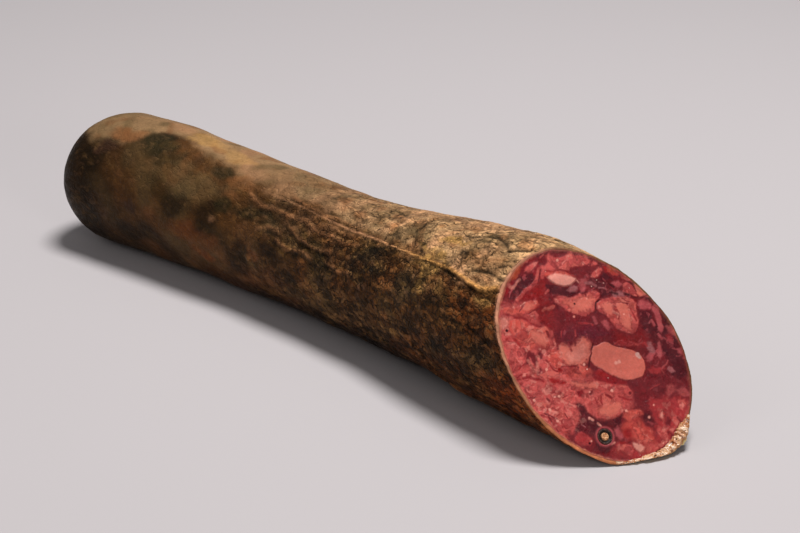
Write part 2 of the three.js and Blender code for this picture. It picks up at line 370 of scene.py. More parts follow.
def cells(points, size, seed):
    """Distance from the borders between irregular cells about size mm across, 0 on a border."""
    nearest = np.array([noise.voronoi(p)[0][:2] for p in scaled(points, size, seed, (9.1, 2.3, 5.9))])
    return nearest[:, 1] - nearest[:, 0]


def fragments(points, size, seed):
    """Irregular pieces about size mm across: distance from their borders, and each one's random share."""
    found = [noise.voronoi(p) for p in scaled(points, size, seed, (4.7, 8.9, 3.1))]
    border = np.array([f[0][1] - f[0][0] for f in found])
    seeds = np.array([tuple(f[1][0]) for f in found])
    return border, np.modf(np.abs(np.sin(seeds @ np.array([12.99, 78.23, 37.72])) * 437.5))[0]


CUT_OUT = np.array([1.0, CUT_SIDE, CUT_RISE]) / math.sqrt(1 + CUT_SIDE**2 + CUT_RISE**2)
CUT_U = np.cross([0, 0, 1], CUT_OUT) / np.linalg.norm(np.cross([0, 0, 1], CUT_OUT))
CUT_V = np.cross(CUT_OUT, CUT_U)
CUT_SIDE_AT = float(middle(BODY_LENGTH)[0])
CUT_MIDDLE = np.array([BODY_LENGTH - CUT_SIDE * CUT_SIDE_AT, CUT_SIDE_AT, CUT_RADIUS - SETTLE])


def skin_points(x, angle, grow):
    """Points of the skin, as an array of rows, in mm."""
    y, z = middle(x)
    radius = (girth(x) + swelling(x, angle) + grow) * dome(x)
    height = z + radius * np.sin(angle)
    pressed = (height + np.sqrt(height**2 + PRESS_SOFTNESS)) / 2 - PRESS_GIVE
    return np.stack([x, y - radius * np.cos(angle), np.maximum(pressed, 0)], 1)


def cut_reach(angle):
    """How far along the sausage the skin reaches at each angle, where the cut ends it."""
    x = np.full(len(angle), BODY_LENGTH)
    for _ in range(CUT_STEPS):
        p = skin_points(x, angle, 0)
        x = BODY_LENGTH - CUT_SIDE * p[:, 1] - CUT_RISE * (p[:, 2] - CUT_MIDDLE[2])
    return x


def to_cut(points):
    """A point's u and v on the cut, and its height off it."""
    off = points - CUT_MIDDLE
    return off @ CUT_U, off @ CUT_V, off @ CUT_OUT


def from_cut(u, v, out):
    """Points in mm for places on the cut and heights off it."""
    return CUT_MIDDLE + np.outer(u, CUT_U) + np.outer(v, CUT_V) + np.outer(out, CUT_OUT)


def place(points):
    """Row-frame metres for points in mm from the tip."""
    shift = np.array([TIP.x, TIP.y + BOW * MM, 0.0])
    return points * MM + shift


def finish_piece(name, mesh, material, node=None):
    """Links a finished mesh as a piece of the sausage."""
    piece = bpy.data.objects.new(name, mesh)
    bpy.context.scene.collection.objects.link(piece)
    mesh.materials.append(material)
    mesh.shade_smooth()
    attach(piece, "root")
    if node:
        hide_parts(node)
    return piece


def mesh_from(name, bm, points=None):
    """A mesh from a bmesh, with its vertices put at points in mm and its faces turned outwards."""
    if points is not None:
        for vertex, co in zip(bm.verts, place(points).tolist()):
            vertex.co = co
    bmesh.ops.recalc_face_normals(bm, faces=bm.faces)
    if bm.calc_volume(signed=True) < 0:
        bmesh.ops.reverse_faces(bm, faces=bm.faces)
    mesh = bpy.data.meshes.new(name)
    bm.to_mesh(mesh)
    bm.free()
    return mesh


def write_mask(mesh, name, values):
    """Keeps three masks, or a colour, on the mesh's vertices, for its material to read."""
    layer = mesh.attributes.new(name, "FLOAT_COLOR", "POINT")
    rgba = np.ones((len(mesh.vertices), 4), np.float32)
    rgba[:, :3] = np.stack(values, 1)
    layer.data.foreach_set("color", rgba.ravel())


# The skin.


def ring_stations(rings):
    """Distances of the rings from the tip, closer in the dome and towards the cut."""
    turn = np.arange(DOME_RINGS) / DOME_RINGS * np.pi / 2
    share = np.linspace(0, 1, rings - DOME_RINGS)
    spread = share + RING_CROWDING * share * (1 - share)
    return np.concatenate([TIP_DEPTH * (1 - np.cos(turn)), TIP_DEPTH + (BODY_LENGTH - TIP_DEPTH) * spread])


def spun(outline, axis, steps):
    """A bmesh of an outline turned once round an axis through the origin, and closed on the axis."""
    bm = bmesh.new()
    profile = [bm.verts.new(co) for co in outline]
    edges = [bm.edges.new(pair) for pair in zip(profile, profile[1:])]
    bmesh.ops.spin(
        bm, geom=profile + edges, axis=axis, cent=(0, 0, 0), angle=2 * math.pi,
        steps=steps, use_merge=True, use_duplicate=False,
    )
    bmesh.ops.remove_doubles(bm, verts=bm.verts, dist=1e-4)
    return bm


def near_paths(paths, x, angle):
    """For each path over the skin, the distance from it in mm, with its half width and depth."""
    degrees = turned_degrees(angle)
    round_mm = math.radians(1) * CUT_RADIUS * 0.9
    for path, half, depth in paths:
        line = [(px, pd * round_mm) for px, pd in path]
        yield near_line(x, degrees * round_mm, line), half, depth


def skin_relief(points, x, angle, settings):
    """Height of the skin's folds and creases in mm, and the masks that its colours follow."""
    wander = drift(points, 9, 1) * 3.0
    fine_wander = drift(points, 3.2, 2) * 1.1
    along = points * np.array([0.72, 1, 1])
    crisp = smooth(95, 165, x)
    broad = 1 - np.abs(grain(along + wander, 8.5, 3)) * 2.2
    ripple = 1 - np.abs(grain(along + wander * 0.6, 4.2, 4)) * 2.2
    fine = 1 - np.abs(grain(along + fine_wander, 1.9, 5)) * 2
    cracks = cells(along + fine_wander * 1.5, 4.2, 6)
    crack = bell(cracks, 0.08) * smooth(-0.1, 0.3, grain(points, 13, 7)) * (0.12 + 0.88 * crisp)
    wrinkle, crease = settings.wrinkle / MM, settings.crease / MM
    height = wrinkle * (broad - 0.6) * (0.4 + 0.6 * crisp)
    height += crease * (0.6 * (ripple - 0.5) + 0.4 * (fine - 0.5)) * (0.3 + 0.8 * crisp)
    height -= 1.1 * crease * crack
    wobble = 0.6 * grain(points, 2.8, 8) + 0.4 * grain(points, 1.1, 10)
    deep = np.zeros(len(x))
    for off, half, depth in near_paths(SKIN_CRACKS, x, angle):
        line = bell(off + 0.7 * wobble, half * 1.5)
        height -= depth * line
        deep = np.maximum(deep, line)
    fold = np.zeros(len(x))
    for off, half, depth in near_paths(SKIN_FOLDS, x, angle):
        off = off + 0.55 * wobble
        line = bell(off, half)
        height += (0.5 + 0.3 * crisp) * depth * (line - 0.5 * bell(off - 2.2 * half, half))
        fold = np.maximum(fold, line)
    off, share = seam_offset(UPPER_SEAM, x, angle)
    off = off + 0.3 * wobble
    rise = smooth(0.1, 0.6, share) * (1 - smooth(1.0, 1.03, share))
    width = 0.36 + 0.58 * smooth(0.72, 0.95, share)
    upper = bell(off - 0.6 * width, width) * (0.25 + 0.75 * rise) * smooth(0, 0.15, share)
    late = smooth(0.68, 0.9, share) * (1 - smooth(1.0, 1.03, share))
    trough = bell(off + 0.7, 0.5) * (0.15 * rise + 0.75 * late)
    low_off, low_share = seam_offset(LOWER_SEAM, x, angle)
    low_rise = smooth(0, 0.3, low_share) * (1 - smooth(0.96, 1.02, low_share))
    lower = bell(low_off + 0.5 * wobble, 1.4) * low_rise
    under = bell(low_off + 3.0, 1.5) * low_rise
    height += settings.seam / MM * upper * (0.35 + 0.65 * smooth(0.6, 0.95, share)) - 0.36 * trough
    height += 0.7 * lower - 0.4 * under
    # The crack and hollow masks are painted dark on the skin: painted shade in its cracks and in the grooves
    # under its seams.
    cracked, hollow = np.maximum(crack * 0.7, deep), np.maximum(trough, 0.8 * under)
    return height, cracked, upper, hollow, np.maximum(lower, fold)


def blend(shades, cover, shade):
    """Lays a shade over the colours, as thickly as cover says."""
    return shades + (np.asarray(shade) - shades) * cover[:, None]


def lay_over(shades, layers):
    """Lays several shades over the colours in turn: each layer is its cover and its shade."""
    for cover, shade in layers:
        shades = blend(shades, cover, shade)
    return shades


def paint_skin(points, x, angle, settings, height, seam, lower):
    """The colour of the skin at each point, with painted light and shade from its relief and a painted shadow
    low on its underside, and how far the point belongs to the light top.
    """
    shade = {name: np.array(getattr(settings, name)) for name in settings.__annotations__}
    bend = drift(points, 11, 16) + 0.5 * drift(points, 4.5, 17) + 0.25 * drift(points, 1.8, 18)
    sharp = smooth(80, 150, x)
    px, pd = x + 5 * bend[:, 0], turned_degrees(angle) + (8 + 6 * sharp) * bend[:, 1]
    off, _ = seam_offset(TOP_EDGE, x, angle)
    loose = bell(x - 126, 26)
    edge = off + (3.4 + 3 * loose) * bend[:, 2]
    top = smooth(-1.5 - 4.5 * loose, 3.5 - 1.5 * sharp + 3 * loose, edge) * smooth(172, 140, pd)
    far = 1 - smooth(12, 62, px)
    near_rim = smooth(212, 250, px)
    under = np.clip(smooth(0, -42, pd) + smooth(195, 228, pd), 0, 1)
    colours = lay_over(np.tile(shade["brown"], (len(x), 1)), (
        (0.55 * smooth(0, 0.5, grain(points, 13, 11)), shade["olive"]),
        (0.42 * smooth(0.05, 0.5, grain(points, 9, 12)) * (1 - far), shade["warm"]),
        (0.8 * smooth(0.0, 0.5, grain(points, 12, 13)), shade["dark"]),
        (0.55 * under * (1 - near_rim), shade["dark"]),
        (0.34 * under * smooth(70, 110, x), shade["rust"]),
        (0.92 * far, shade["dark"]),
    ))
    light = lay_over(np.tile(shade["tan"], (len(x), 1)), (
        (0.5 * smooth(0.05, 0.5, grain(points, 10, 14)), shade["pinkish"]),
        (0.62 * smooth(0.02, 0.5, grain(points, 7, 15)), shade["olive"]),
        (0.5 * sharp * smooth(0.1, 0.5, grain(points, 3.4, 29)), shade["brown"]),
        (0.5 * smooth(0.15, 0.5, grain(points, 5, 19)), shade["warm"]),
        (0.4 * far, shade["olive"]),
    ))
    light *= (0.88 + 1.0 * smooth(118, 165, x) + 0.4 * smooth(175, 225, x))[:, None]
    shown = smooth(110, 175, x) * smooth(-46, -22, pd) * smooth(178, 160, pd)
    colours *= 1 + np.outer(shown + 0.9 * near_rim, SIDE_GAIN)
    above, share = seam_offset(UPPER_SEAM, x, angle)
    edge = smooth(0.1, 0.25, share) * smooth(0.84, 0.7, share)
    light = blend(light, 0.8 * edge * smooth(4.6, 1.4, above + 1.6 * bend[:, 0]), shade["brown"] * 1.25)
    colours += (light - colours) * top[:, None]
    # Painted shadow: the lowest strip of the underside along the middle is painted near black.
    below = smooth(-22, -40, pd) * smooth(82, 108, px) * smooth(196, 176, px)
    colours = blend(colours, 0.85 * below, shade["dark"] * 0.5)
    for name, (at, turn), (reach, spread), strength in PATCHES:
        away = ((px - at) / reach) ** 2 + ((pd - turn) / spread) ** 2
        colours = blend(colours, strength * smooth(1.9, 0.3, away), shade[name])
    colours *= 1 + np.outer(smooth(218, 242, px) * smooth(14, -20, pd), RIM_WARMTH)
    _, tone = fragments(points * [0.8, 1, 1] + 0.8 * bend, 2.6, 23)
    _, small_tone = fragments(points * [0.8, 1, 1] + 0.5 * bend, 1.3, 24)
    spread = 0.25 + 0.75 * sharp
    ochre_lip = shade["ochre"] * [0.92, 0.82, 0.66]
    lip = blend(np.tile(shade["pinkish"], (len(x), 1)), 0.75 * smooth(0.5, 0.75, share), ochre_lip)
    colours = lay_over(colours, (
        (0.16 * spread * smooth(0.7, 1, tone) * (1 - 0.6 * top), shade["ochre"]),
        (0.5 * spread * smooth(0.35, 0.0, tone) * (1 - 0.75 * top), shade["dark"]),
        (0.22 * spread * smooth(0.8, 1, small_tone), shade["pinkish"]),
        (0.5 * spread * smooth(0.25, 0.0, small_tone) * (1 - 0.7 * top), shade["dark"]),
        (np.clip(0.95 * seam, 0, 1), lip * 1.3),
        (np.clip(0.4 * lower, 0, 1), 0.4 * shade["pinkish"] + 0.5 * shade["warm"]),
    ))
    # Painted light and shade: the colour is made lighter on the raised parts of the relief and darker in its
    # hollows.
    painted_relief_light = np.clip(0.8 + 0.9 * height, 0.45, 1.3)
    return colours * painted_relief_light[:, None], top


def paint_rim(points, angle, settings):
    """The colour of the skin's cut edge: pale at the left, orange below, dull and thin on the right."""
    degrees = np.degrees(angle) % 360
    left = bell(degrees - 40, 52) + bell(degrees - 400, 52)
    rim = lay_over(np.tile(np.array(settings.rim_dull), (len(angle), 1)), (
        (np.clip(left, 0, 1), settings.rim_pale),
        (bell(degrees - 305, 34), settings.rim_orange),
    ))
    patchy = grain(points, 2.2, 25) + 0.6 * grain(points, 0.9, 26)
    return rim * (1 + 0.42 * patchy)[:, None]


def rim_thickness(angle, settings):
    """Thickness of the skin at the cut: widest at the upper left and below, thin on the right."""
    degrees = np.degrees(angle) % 360
    wide = 0.45 * bell(degrees - 45, 38) + 0.5 * bell(degrees - 294, 24)
    thin = 0.45 * bell(degrees - 175, 48)
    ring = np.stack([np.cos(angle), np.sin(angle), np.zeros(len(angle))], 1) * CUT_RADIUS
    uneven = 0.3 * grain(ring, 4.4, 27) + 0.26 * grain(ring, 1.7, 28)
    return settings.rim / MM * (1 + wide - thin + uneven)


def build_skin(settings):
    """The skin: a spun bag, its cut rim and a short inner wall that the meat hides."""
    stations = ring_stations(settings.rings)
    last = len(stations) - 1
    end = last + len(RIM_ACROSS)
    outline = [(ring, 0 if ring in (0, end) else 1, 0) for ring in range(end + 1)]
    bm = spun(outline, (1, 0, 0), settings.columns)
    flat = np.array([v.co for v in bm.verts])
    ring = np.rint(flat[:, 0]).astype(int)
    angle = np.arctan2(flat[:, 2], -flat[:, 1])
    ends, owner = np.unique(np.round(angle, 5), return_inverse=True)
    reach = cut_reach(ends)[owner]
    station = stations[np.minimum(ring, last)]
    late = np.clip((station - SHEAR_START) / (BODY_LENGTH - SHEAR_START), 0, None)
    x = np.where(station > SHEAR_START, SHEAR_START + late * (reach - SHEAR_START), station)
    base = skin_points(x, angle, 0)
    height, crack, upper, trough, lower = skin_relief(base, x, angle, settings)
    pressed = smooth(0, 2.5, base[:, 2])
    points = skin_points(x, angle, height * (0.25 + 0.75 * pressed))
    thickness = rim_thickness(angle, settings)
    ragged = grain(base, 1.3, 21) * 0.16 + grain(base, 0.6, 22) * 0.08
    for step, (across, crown) in enumerate(zip(RIM_ACROSS, RIM_CROWN), 1):
        on = ring == last + step
        ripple = ragged[on] * (1 - across * 0.6) if step <= RIM_RAGGED_STEPS else 0
        grow = height[on] * 0.6 * (1 - across) - thickness[on] * across
        inner = skin_points(reach[on], angle[on], grow)
        points[on] = inner + np.outer(crown + ripple - to_cut(inner)[2], CUT_OUT)
        points[on, 2] = np.maximum(points[on, 2], RIM_LOWEST + RIM_LOWEST_STEP * step)
    edge = skin_points(reach, angle, height * 0.6)
    points[ring == last] = edge[ring == last]
    points[ring == end] = from_cut(np.zeros(1), np.zeros(1), np.full(1, RIM_CROWN[-1]))
    mesh = mesh_from("skin", bm, points)
    rim = np.where(ring <= last, 0.55 * smooth(1.1, 0, reach - x + 0.5 * ragged) * (late > 0), 1)
    colours, top = paint_skin(base, x, angle, settings, height, upper, lower)
    colours += (paint_rim(points, angle, settings) - colours) * rim[:, None]
    # Painted shade: the cracks and the grooves under the seams are kept as a mask that the material paints
    # near black.
    dark = np.clip(np.maximum(crack, 0.5 * trough) * (1 - rim), 0, 1)
    crisp = smooth(85, 168, x) * (1 - rim) * (1 - 0.75 * np.clip(upper, 0, 1))
    write_mask(mesh, "tint", list(np.clip(colours, 0, 1).T))
    write_mask(mesh, "form", [dark, crisp, rim])
    write_mask(mesh, "extra", [top, top, top])
    return mesh


# The cut. Each lump of the meat is a shade, how soft its edge is and how far its outline wanders, in mm,
# and its outline as points u and v. Later lumps lie over earlier ones.

LUMPS = (
    # broad parts
    ("pink", 1.2, 1.2, (
        (-30, 16), (-26, 21), (-20, 20.4), (-14.5, 19.6), (-15, 13), (-12, 10), (-11, 5), (-9, -2),
        (-2, -7), (8, -10), (9.5, -16), (5, -19.6), (-4, -19.8), (-9, -13), (-9.5, -18), (-13, -22.6),
        (-17, -22), (-24, -13), (-30, 0),
    )),
    ("red", 1.0, 1.0, (
        (-16, 20.2), (-15, 13), (-12.6, 11.6), (-11, 9), (-9.5, 13), (-8.4, 18.2), (-10, 20.6),
        (-9.6, 25), (-11, 28), (-13, 25.2), (-17, 23.4), (-20.6, 21),
    )),
    ("red", 1.6, 1.0, ((9, 6.4), (14, 4.6), (18, 5), (17.6, 1), (13, 0.6), (8, 3))),
    ("plum", 1.6, 1.0, ((-10, 9), (-5, 9.6), (2, 10), (7, 7.2), (7, 4.6), (2, 5), (-4, 6), (-9, 5.6))),
    ("dark", 0.7, 0.8, (
        (23.2, 3), (25.4, 3.4), (26.6, 0.6), (28.4, -3.8), (29, -8.4), (27.4, -11.4), (25.2, -10.8),
        (24, -9.6), (24.8, -7.2), (23.4, -5), (22.6, -2),
    )),
    ("dark", 0.5, 0.7, (
        (17.8, 12.6), (20, 11.8), (22.4, 11.2), (23, 8), (23, 4.4), (22.6, 1), (20.4, 0.8), (20, 4),
        (18.4, 5.6), (17.6, 8),
    )),
    ("dark", 0.7, 0.8, ((25, 11), (27, 9.6), (28, 5.6), (25.4, 3), (25.4, 7))),
    ("dark", 0.6, 0.8, (
        (4.6, 24.6), (6.4, 24.2), (8.6, 24.6), (10, 25.6), (10.8, 27.6), (11.4, 24.4), (12.6, 23.6),
        (11.4, 22), (10.6, 20.4), (12.2, 18.6), (12.6, 17.8), (9.6, 17.8), (7, 17.6), (6.8, 19.2),
        (6.2, 20.6), (4.6, 21.2), (3.4, 22.4),
    )),
    ("dark", 0.4, 0.6, (
        (-9.8, 24.4), (-7.8, 24.2), (-5.4, 23), (-3.2, 22.9), (-2.8, 21.6), (-1.2, 21), (0.4, 20.8),
        (3, 20.4), (4.4, 21), (3, 19.7), (0.8, 20.1), (-1.4, 20), (-3.6, 19), (-4.4, 19), (-5.4, 20.4),
        (-7.4, 21), (-9.4, 21.6), (-9.8, 22.8),
    )),
    ("dark", 0.5, 0.6, (
        (-9.8, -13.4), (-8, -13.6), (-7, -15), (-6.6, -16.8), (-5, -18), (-3.6, -19.2), (-1.4, -20.2),
        (1.4, -19.8), (4.4, -18.8), (4.8, -20), (3.2, -21.4), (2, -22.8), (1, -24.4), (0.4, -26),
        (-1, -28.8), (-3, -30), (-5.4, -29.2), (-6.6, -27.4), (-6.8, -25), (-8.6, -22.8), (-10.6, -22.2),
        (-12.8, -22.6), (-11.4, -20.2), (-9.8, -18.6), (-8.8, -17), (-9.2, -15.2),
    )),
    ("dark", 1.2, 0.8, (
        (21.5, 7), (24, 8), (27.5, 7), (29.5, 2), (29, -3), (25, -4), (21.5, -2), (20.6, 3),
    )),
    ("dark", 1.0, 0.8, (
        (10.6, -20), (13.2, -20), (14.6, -21.4), (14, -23.4), (12.4, -24.2), (10.8, -23), (10.6, -21.4),
    )),
    ("rose", 1.4, 1.2, (
        (15, -17), (20, -16.2), (24, -18), (27.6, -18), (25.6, -24), (20, -28.4), (14.6, -32), (9, -33.4),
        (1, -32.4), (-4, -31), (0.6, -27.6), (4, -28.4), (9, -28), (13.4, -27), (14.6, -24), (15, -20),
    )),
    # the top
    ("pink", 0.35, 0.5, (
        (-10, 27.6), (-9.4, 30), (-7.6, 31.6), (-8, 33.4), (-6.6, 34), (-5.4, 33), (-4.4, 32.2),
        (-2.4, 32.4), (-0.6, 33), (0.8, 33.6), (1.8, 32.2), (3.4, 32), (5, 31.4), (6.2, 30.2),
        (6.2, 29.2), (5, 28.4), (3.4, 28.4), (1.4, 28.8), (0.2, 28.6), (-1.6, 27.6), (-3.2, 27.8),
        (-5.4, 28.2), (-7.8, 28.2),
    )),
    ("coral", 0.5, 0.4, (
        (-10, 27.4), (-8, 28.2), (-5.4, 28), (-3.2, 27.6), (-1.2, 26.4), (0.4, 25.4), (-2.4, 25.6),
        (-5, 26.2), (-8.4, 26.6),
    )),
    ("lean", 0.4, 0.4, (
        (-1.6, 26.8), (-0.4, 27.7), (1.6, 28.2), (3.6, 28.1), (5.8, 27.6), (6.6, 26.8), (6.2, 25.8),
        (4.8, 25), (3.2, 24.9), (1.2, 26), (0, 26.2),
    )),
    ("lean", 0.3, 0.4, (
        (-5.8, 34.4), (-4.6, 33), (-3.4, 32.5), (-2, 32.6), (-0.8, 33.2), (-0.2, 34), (-2, 34.6),
        (-4, 34.8),
    )),
    ("lean", 0.4, 0.5, (
        (-10.2, 33), (-8.8, 33.1), (-7.8, 32.3), (-7.5, 31), (-8.8, 30.4), (-10, 31), (-10.6, 32),
    )),
    ("orange", 0.7, 0.5, (
        (-23.6, 28), (-22.6, 30), (-19.8, 32), (-17.8, 33.2), (-16.4, 32.4), (-16.8, 31), (-17.8, 29.6),
        (-18.8, 28.2), (-20.8, 27.4), (-22.6, 27.4),
    )),
    ("red", 0.35, 0.4, (
        (-16.4, 33), (-14, 33.5), (-12, 33.9), (-11, 33.2), (-12.4, 32.2), (-14.6, 32), (-15.6, 31.4),
        (-16.2, 30.4), (-16.8, 31.8),
    )),
    ("pink", 0.3, 0.35, (
        (-15.8, 29.4), (-15.2, 30.3), (-13.8, 31.3), (-12.2, 31.8), (-10.8, 31.8), (-11.8, 30.6),
        (-13.4, 29.7), (-14.6, 29.2),
    )),
    ("wine", 0.35, 0.4, (
        (-13.8, 28.6), (-12.6, 29.5), (-11, 31), (-10.2, 30), (-11.2, 28.4), (-12.2, 27.2), (-13.2, 27.8),
    )),
    # upper left
    ("dark", 0.3, 0.45, (
        (-18.8, 27.2), (-17.4, 27.9), (-15.4, 28.3), (-13.4, 28.4), (-13.2, 27.4), (-13.8, 26.2),
        (-15.2, 25), (-16.4, 24.3), (-17.6, 24.3), (-18.4, 25.2), (-19.5, 25.3), (-19.7, 26.2),
    )),
    ("dark", 0.3, 0.45, (
        (-20.8, 25.2), (-19.2, 25.1), (-17.8, 24.4), (-17, 23.8), (-17.8, 22.8), (-19, 22.2), (-20.4, 22),
        (-21.2, 21.2), (-22.6, 21.4), (-23, 22.6), (-22.2, 23.2), (-21, 23.8),
    )),
    ("wine", 0.35, 0.45, (
        (-24.8, 24), (-23.8, 25.7), (-22.4, 26.9), (-21, 27.4), (-19.8, 27), (-20.6, 26), (-21.8, 24.8),
        (-22.6, 23.2), (-23.8, 22.6), (-24.8, 22.8),
    )),
    ("almost red", 0.9, 0.6, (
        (-14.8, 23.6), (-13, 24.6), (-11.4, 24), (-11, 22.4), (-12, 21), (-14, 20.9), (-15.6, 21.6),
    )),
    ("coral", 0.3, 0.5, (
        (-25.2, 19.8), (-23.4, 19.2), (-22, 19.3), (-20.4, 18.2), (-19.2, 18.7), (-18, 19.7), (-16, 20),
        (-14, 19.9), (-13.8, 18.8), (-15, 17.8), (-16.6, 16.8), (-18.6, 16.6), (-20.6, 15.6), (-22, 16.2),
        (-23.8, 17.4), (-25.6, 18.2),
    )),
    ("salmon", 0.5, 0.4, (
        (-19.6, 18), (-18.4, 19.2), (-16.4, 19.5), (-14.9, 19.3), (-15.4, 18.2), (-17, 17.4),
        (-18.6, 17.2),
    )),
    ("pink", 0.3, 0.4, (
        (-18, 15.8), (-16.6, 16.3), (-15.2, 16.6), (-14.9, 15.4), (-15.6, 14.4), (-17.2, 14.3),
        (-18.4, 14.8),
    )),
    ("coral", 0.35, 0.5, (
        (-24.8, 14.8), (-22.4, 15.1), (-20.2, 14.6), (-18.6, 13.3), (-17.4, 12.1), (-15.6, 11.2),
        (-13.6, 11.2), (-12.8, 10), (-12.9, 8.4), (-12.8, 6.2), (-13.8, 5.2), (-15.2, 4.5), (-16.8, 5.2),
        (-18, 5.6), (-20, 5.1), (-21.8, 6), (-22.9, 7.4), (-23.4, 9), (-23, 10.6), (-24.8, 11.4),
        (-25.4, 13),
    )),
    ("salmon", 0.9, 0.4, (
        (-18.6, 11), (-16.6, 10.8), (-14.6, 8.8), (-13.6, 6.4), (-15, 5.2), (-16.8, 6), (-18.2, 8),
    )),
    ("pale rose", 0.6, 0.4, (
        (-28.6, 14.2), (-27.4, 15.8), (-25.8, 16.4), (-24.8, 15.4), (-25.3, 13.8), (-26.4, 12.9),
        (-28.2, 12.6),
    )),
    ("pink", 0.4, 0.5, (
        (-29, 9.8), (-26.8, 9), (-24.8, 7.8), (-23.2, 6.4), (-22.2, 5), (-22.8, 3.4), (-25, 2.2),
        (-27.4, 2.4), (-28.8, 5),
    )),
    ("coral", 0.4, 0.4, (
        (-14.8, 2.6), (-13, 3.9), (-11.2, 3.4), (-10.8, 1.6), (-10.8, -0.6), (-11.4, -1.5), (-13, -1.8),
        (-14.4, -0.8), (-15.1, 1),
    )),
    ("pink", 0.3, 0.4, ((-24.6, -0.4), (-23, 0), (-21.6, -0.8), (-21, -2.2), (-22.4, -2.6), (-24, -2.6))),
    ("pink", 0.3, 0.4, (
        (-19.6, -3), (-17.8, -1.9), (-16, -2.2), (-14.2, -2.4), (-12.6, -3.5), (-12.2, -4.8),
        (-13.8, -4.8), (-15.8, -4), (-18.2, -4.4),
    )),
    ("lean", 0.25, 0.35, (
        (-22.6, 1), (-21.4, 3.6), (-20.4, 4.8), (-19, 4), (-18.3, 2.6), (-18.8, 0.8), (-19.5, -0.2),
        (-19.9, 1.4), (-20.6, 3), (-21.2, 1.6), (-21.6, 0.4),
    )),
    ("lean", 0.3, 0.4, ((-17.8, 3.8), (-16.9, 4.6), (-16.2, 3.2), (-16.8, 1.8), (-17.6, 1.8))),
    ("almost red", 0.35, 0.4, (
        (-16.8, -4.2), (-15.2, -4.4), (-14.2, -5.2), (-12.4, -5.8), (-11.2, -6.8), (-13.4, -7),
        (-14.8, -6.3), (-15.9, -5.2),
    )),
    ("almost red", 0.3, 0.35, ((-12.8, -2), (-11.3, -1.7), (-11.1, -2.8), (-11.8, -3.7), (-12.6, -3))),
    # the middle
    ("pink", 0.28, 0.35, (
        (-8.6, 19.6), (-6.8, 20.3), (-4.6, 19.5), (-3, 19.1), (-1.4, 19.5), (0.2, 19.9), (1, 19.4),
        (2.2, 19), (3, 19.8), (4.6, 20.4), (6, 20), (6.8, 19.2), (6.4, 18.2), (5.7, 17.2), (4.7, 16.5),
        (4.3, 15.2), (3.9, 14), (2.4, 13.4), (0.4, 13), (-1.4, 13.3), (-3, 13.8), (-4.6, 14.8),
        (-6, 16.2), (-7.2, 17.4), (-8.4, 18.4),
    )),
    ("salmon", 0.9, 0.5, (
        (-5.6, 18), (-3, 18.2), (0, 18.4), (3.4, 18.6), (4.8, 17.6), (3.6, 15.4), (1.6, 14.2),
        (-0.8, 14.2), (-3, 15),
    )),
    ("pink", 0.3, 0.35, (
        (5.3, 16.4), (7.2, 17.1), (8.6, 17.3), (10.6, 17.2), (12.4, 17.4), (14.4, 16.8), (15.6, 16.4),
        (17.2, 15.2), (18, 14), (17.7, 12.4), (17.5, 10.6), (17.5, 8.6), (16.9, 6.8), (15.6, 5.6),
        (14, 5.2), (12.6, 5.8), (11, 6.6), (9.6, 7.6), (8.8, 9.2), (8, 10.6), (7, 11.7), (6.2, 12.6),
        (5.4, 13.3), (4.8, 14.6),
    )),
    ("salmon", 0.8, 0.4, (
        (11, 15.6), (13, 16), (14.8, 14.8), (15.2, 12), (14.8, 9), (14.4, 6.4), (12.8, 6.6), (11.4, 9),
        (10.6, 12),
    )),
    ("salmon", 0.8, 0.4, ((6.6, 15.8), (9.6, 16), (10.2, 13), (9, 11), (7, 13))),
    ("dusky", 0.4, 0.4, ((5, 10.2), (6.4, 11.1), (7.4, 9.6), (7.7, 7.8), (6.8, 7.3), (5.8, 8.8))),
    ("salmon", 0.6, 0.55, (
        (-10.8, 5.2), (-9.4, 5.5), (-8.2, 5.2), (-7.6, 4.6), (-6.8, 4.3), (-6, 4.6), (-5, 5), (-3.8, 5.4),
        (-2.4, 6.2), (-1.2, 6.1), (-0.1, 4.6), (-0.4, 3), (-1, 0.8), (-2.2, -1), (-3.6, -1.7),
        (-5.4, -2.1), (-7.6, -1.8), (-9.6, -1.2), (-10.6, 0.4), (-10.9, 2.8),
    )),
    ("pale rose", 1.4, 0.5, (
        (-9, 2.4), (-7, 1.8), (-5, 3.4), (-2.6, 4.4), (-2.4, 1), (-5, -0.6), (-8, -0.4),
    )),
    ("coral", 0.7, 0.5, (
        (-10, -3), (-7, -2.6), (-4, -2.4), (-2.4, -3.6), (-2, -5), (-4.6, -5.6), (-8, -5.4),
        (-10.4, -4.8),
    )),
    ("salmon", 0.8, 0.6, (
        (-10, -6.8), (-7, -6.8), (-3.4, -7.8), (-1, -9.2), (-2, -10), (-5, -9.4), (-8.4, -8.6),
    )),
    ("wine", 0.3, 0.4, (
        (0.8, -4), (2.6, -5.2), (4.2, -6.6), (6, -8), (8.6, -9.2), (8.6, -10.2), (6, -9.8), (3.6, -9.4),
        (1.2, -8.2), (-0.6, -7.7), (-1.8, -6.6), (-1.6, -5.4), (-0.4, -4.4),
    )),
    ("almost red", 0.5, 0.4, (
        (0.4, -4.3), (2.4, -5.3), (3.4, -6.4), (1.6, -7), (-0.4, -6.4), (-0.8, -5.2),
    )),
    ("salmon", 0.16, 0.12, (
        (-1.6, -1), (-0.6, 1.6), (0.6, 3), (1.8, 3.2), (3.4, 3.6), (4.6, 3.7), (6, 3.2), (7, 2.4),
        (8.4, 1.6), (10, 1), (11.6, 0.4), (13, -0.5), (14.4, -1.3), (15.3, -2.4), (15.8, -3.8),
        (15.8, -5.6), (15.2, -7.2), (14.2, -8.6), (12.6, -9), (10.8, -9.1), (8.6, -8.9), (6.4, -7.9),
        (4.2, -6.6), (2.4, -5.2), (0.8, -3.8), (-0.8, -2.6),
    )),
    ("almond", 0.32, 0.2, (
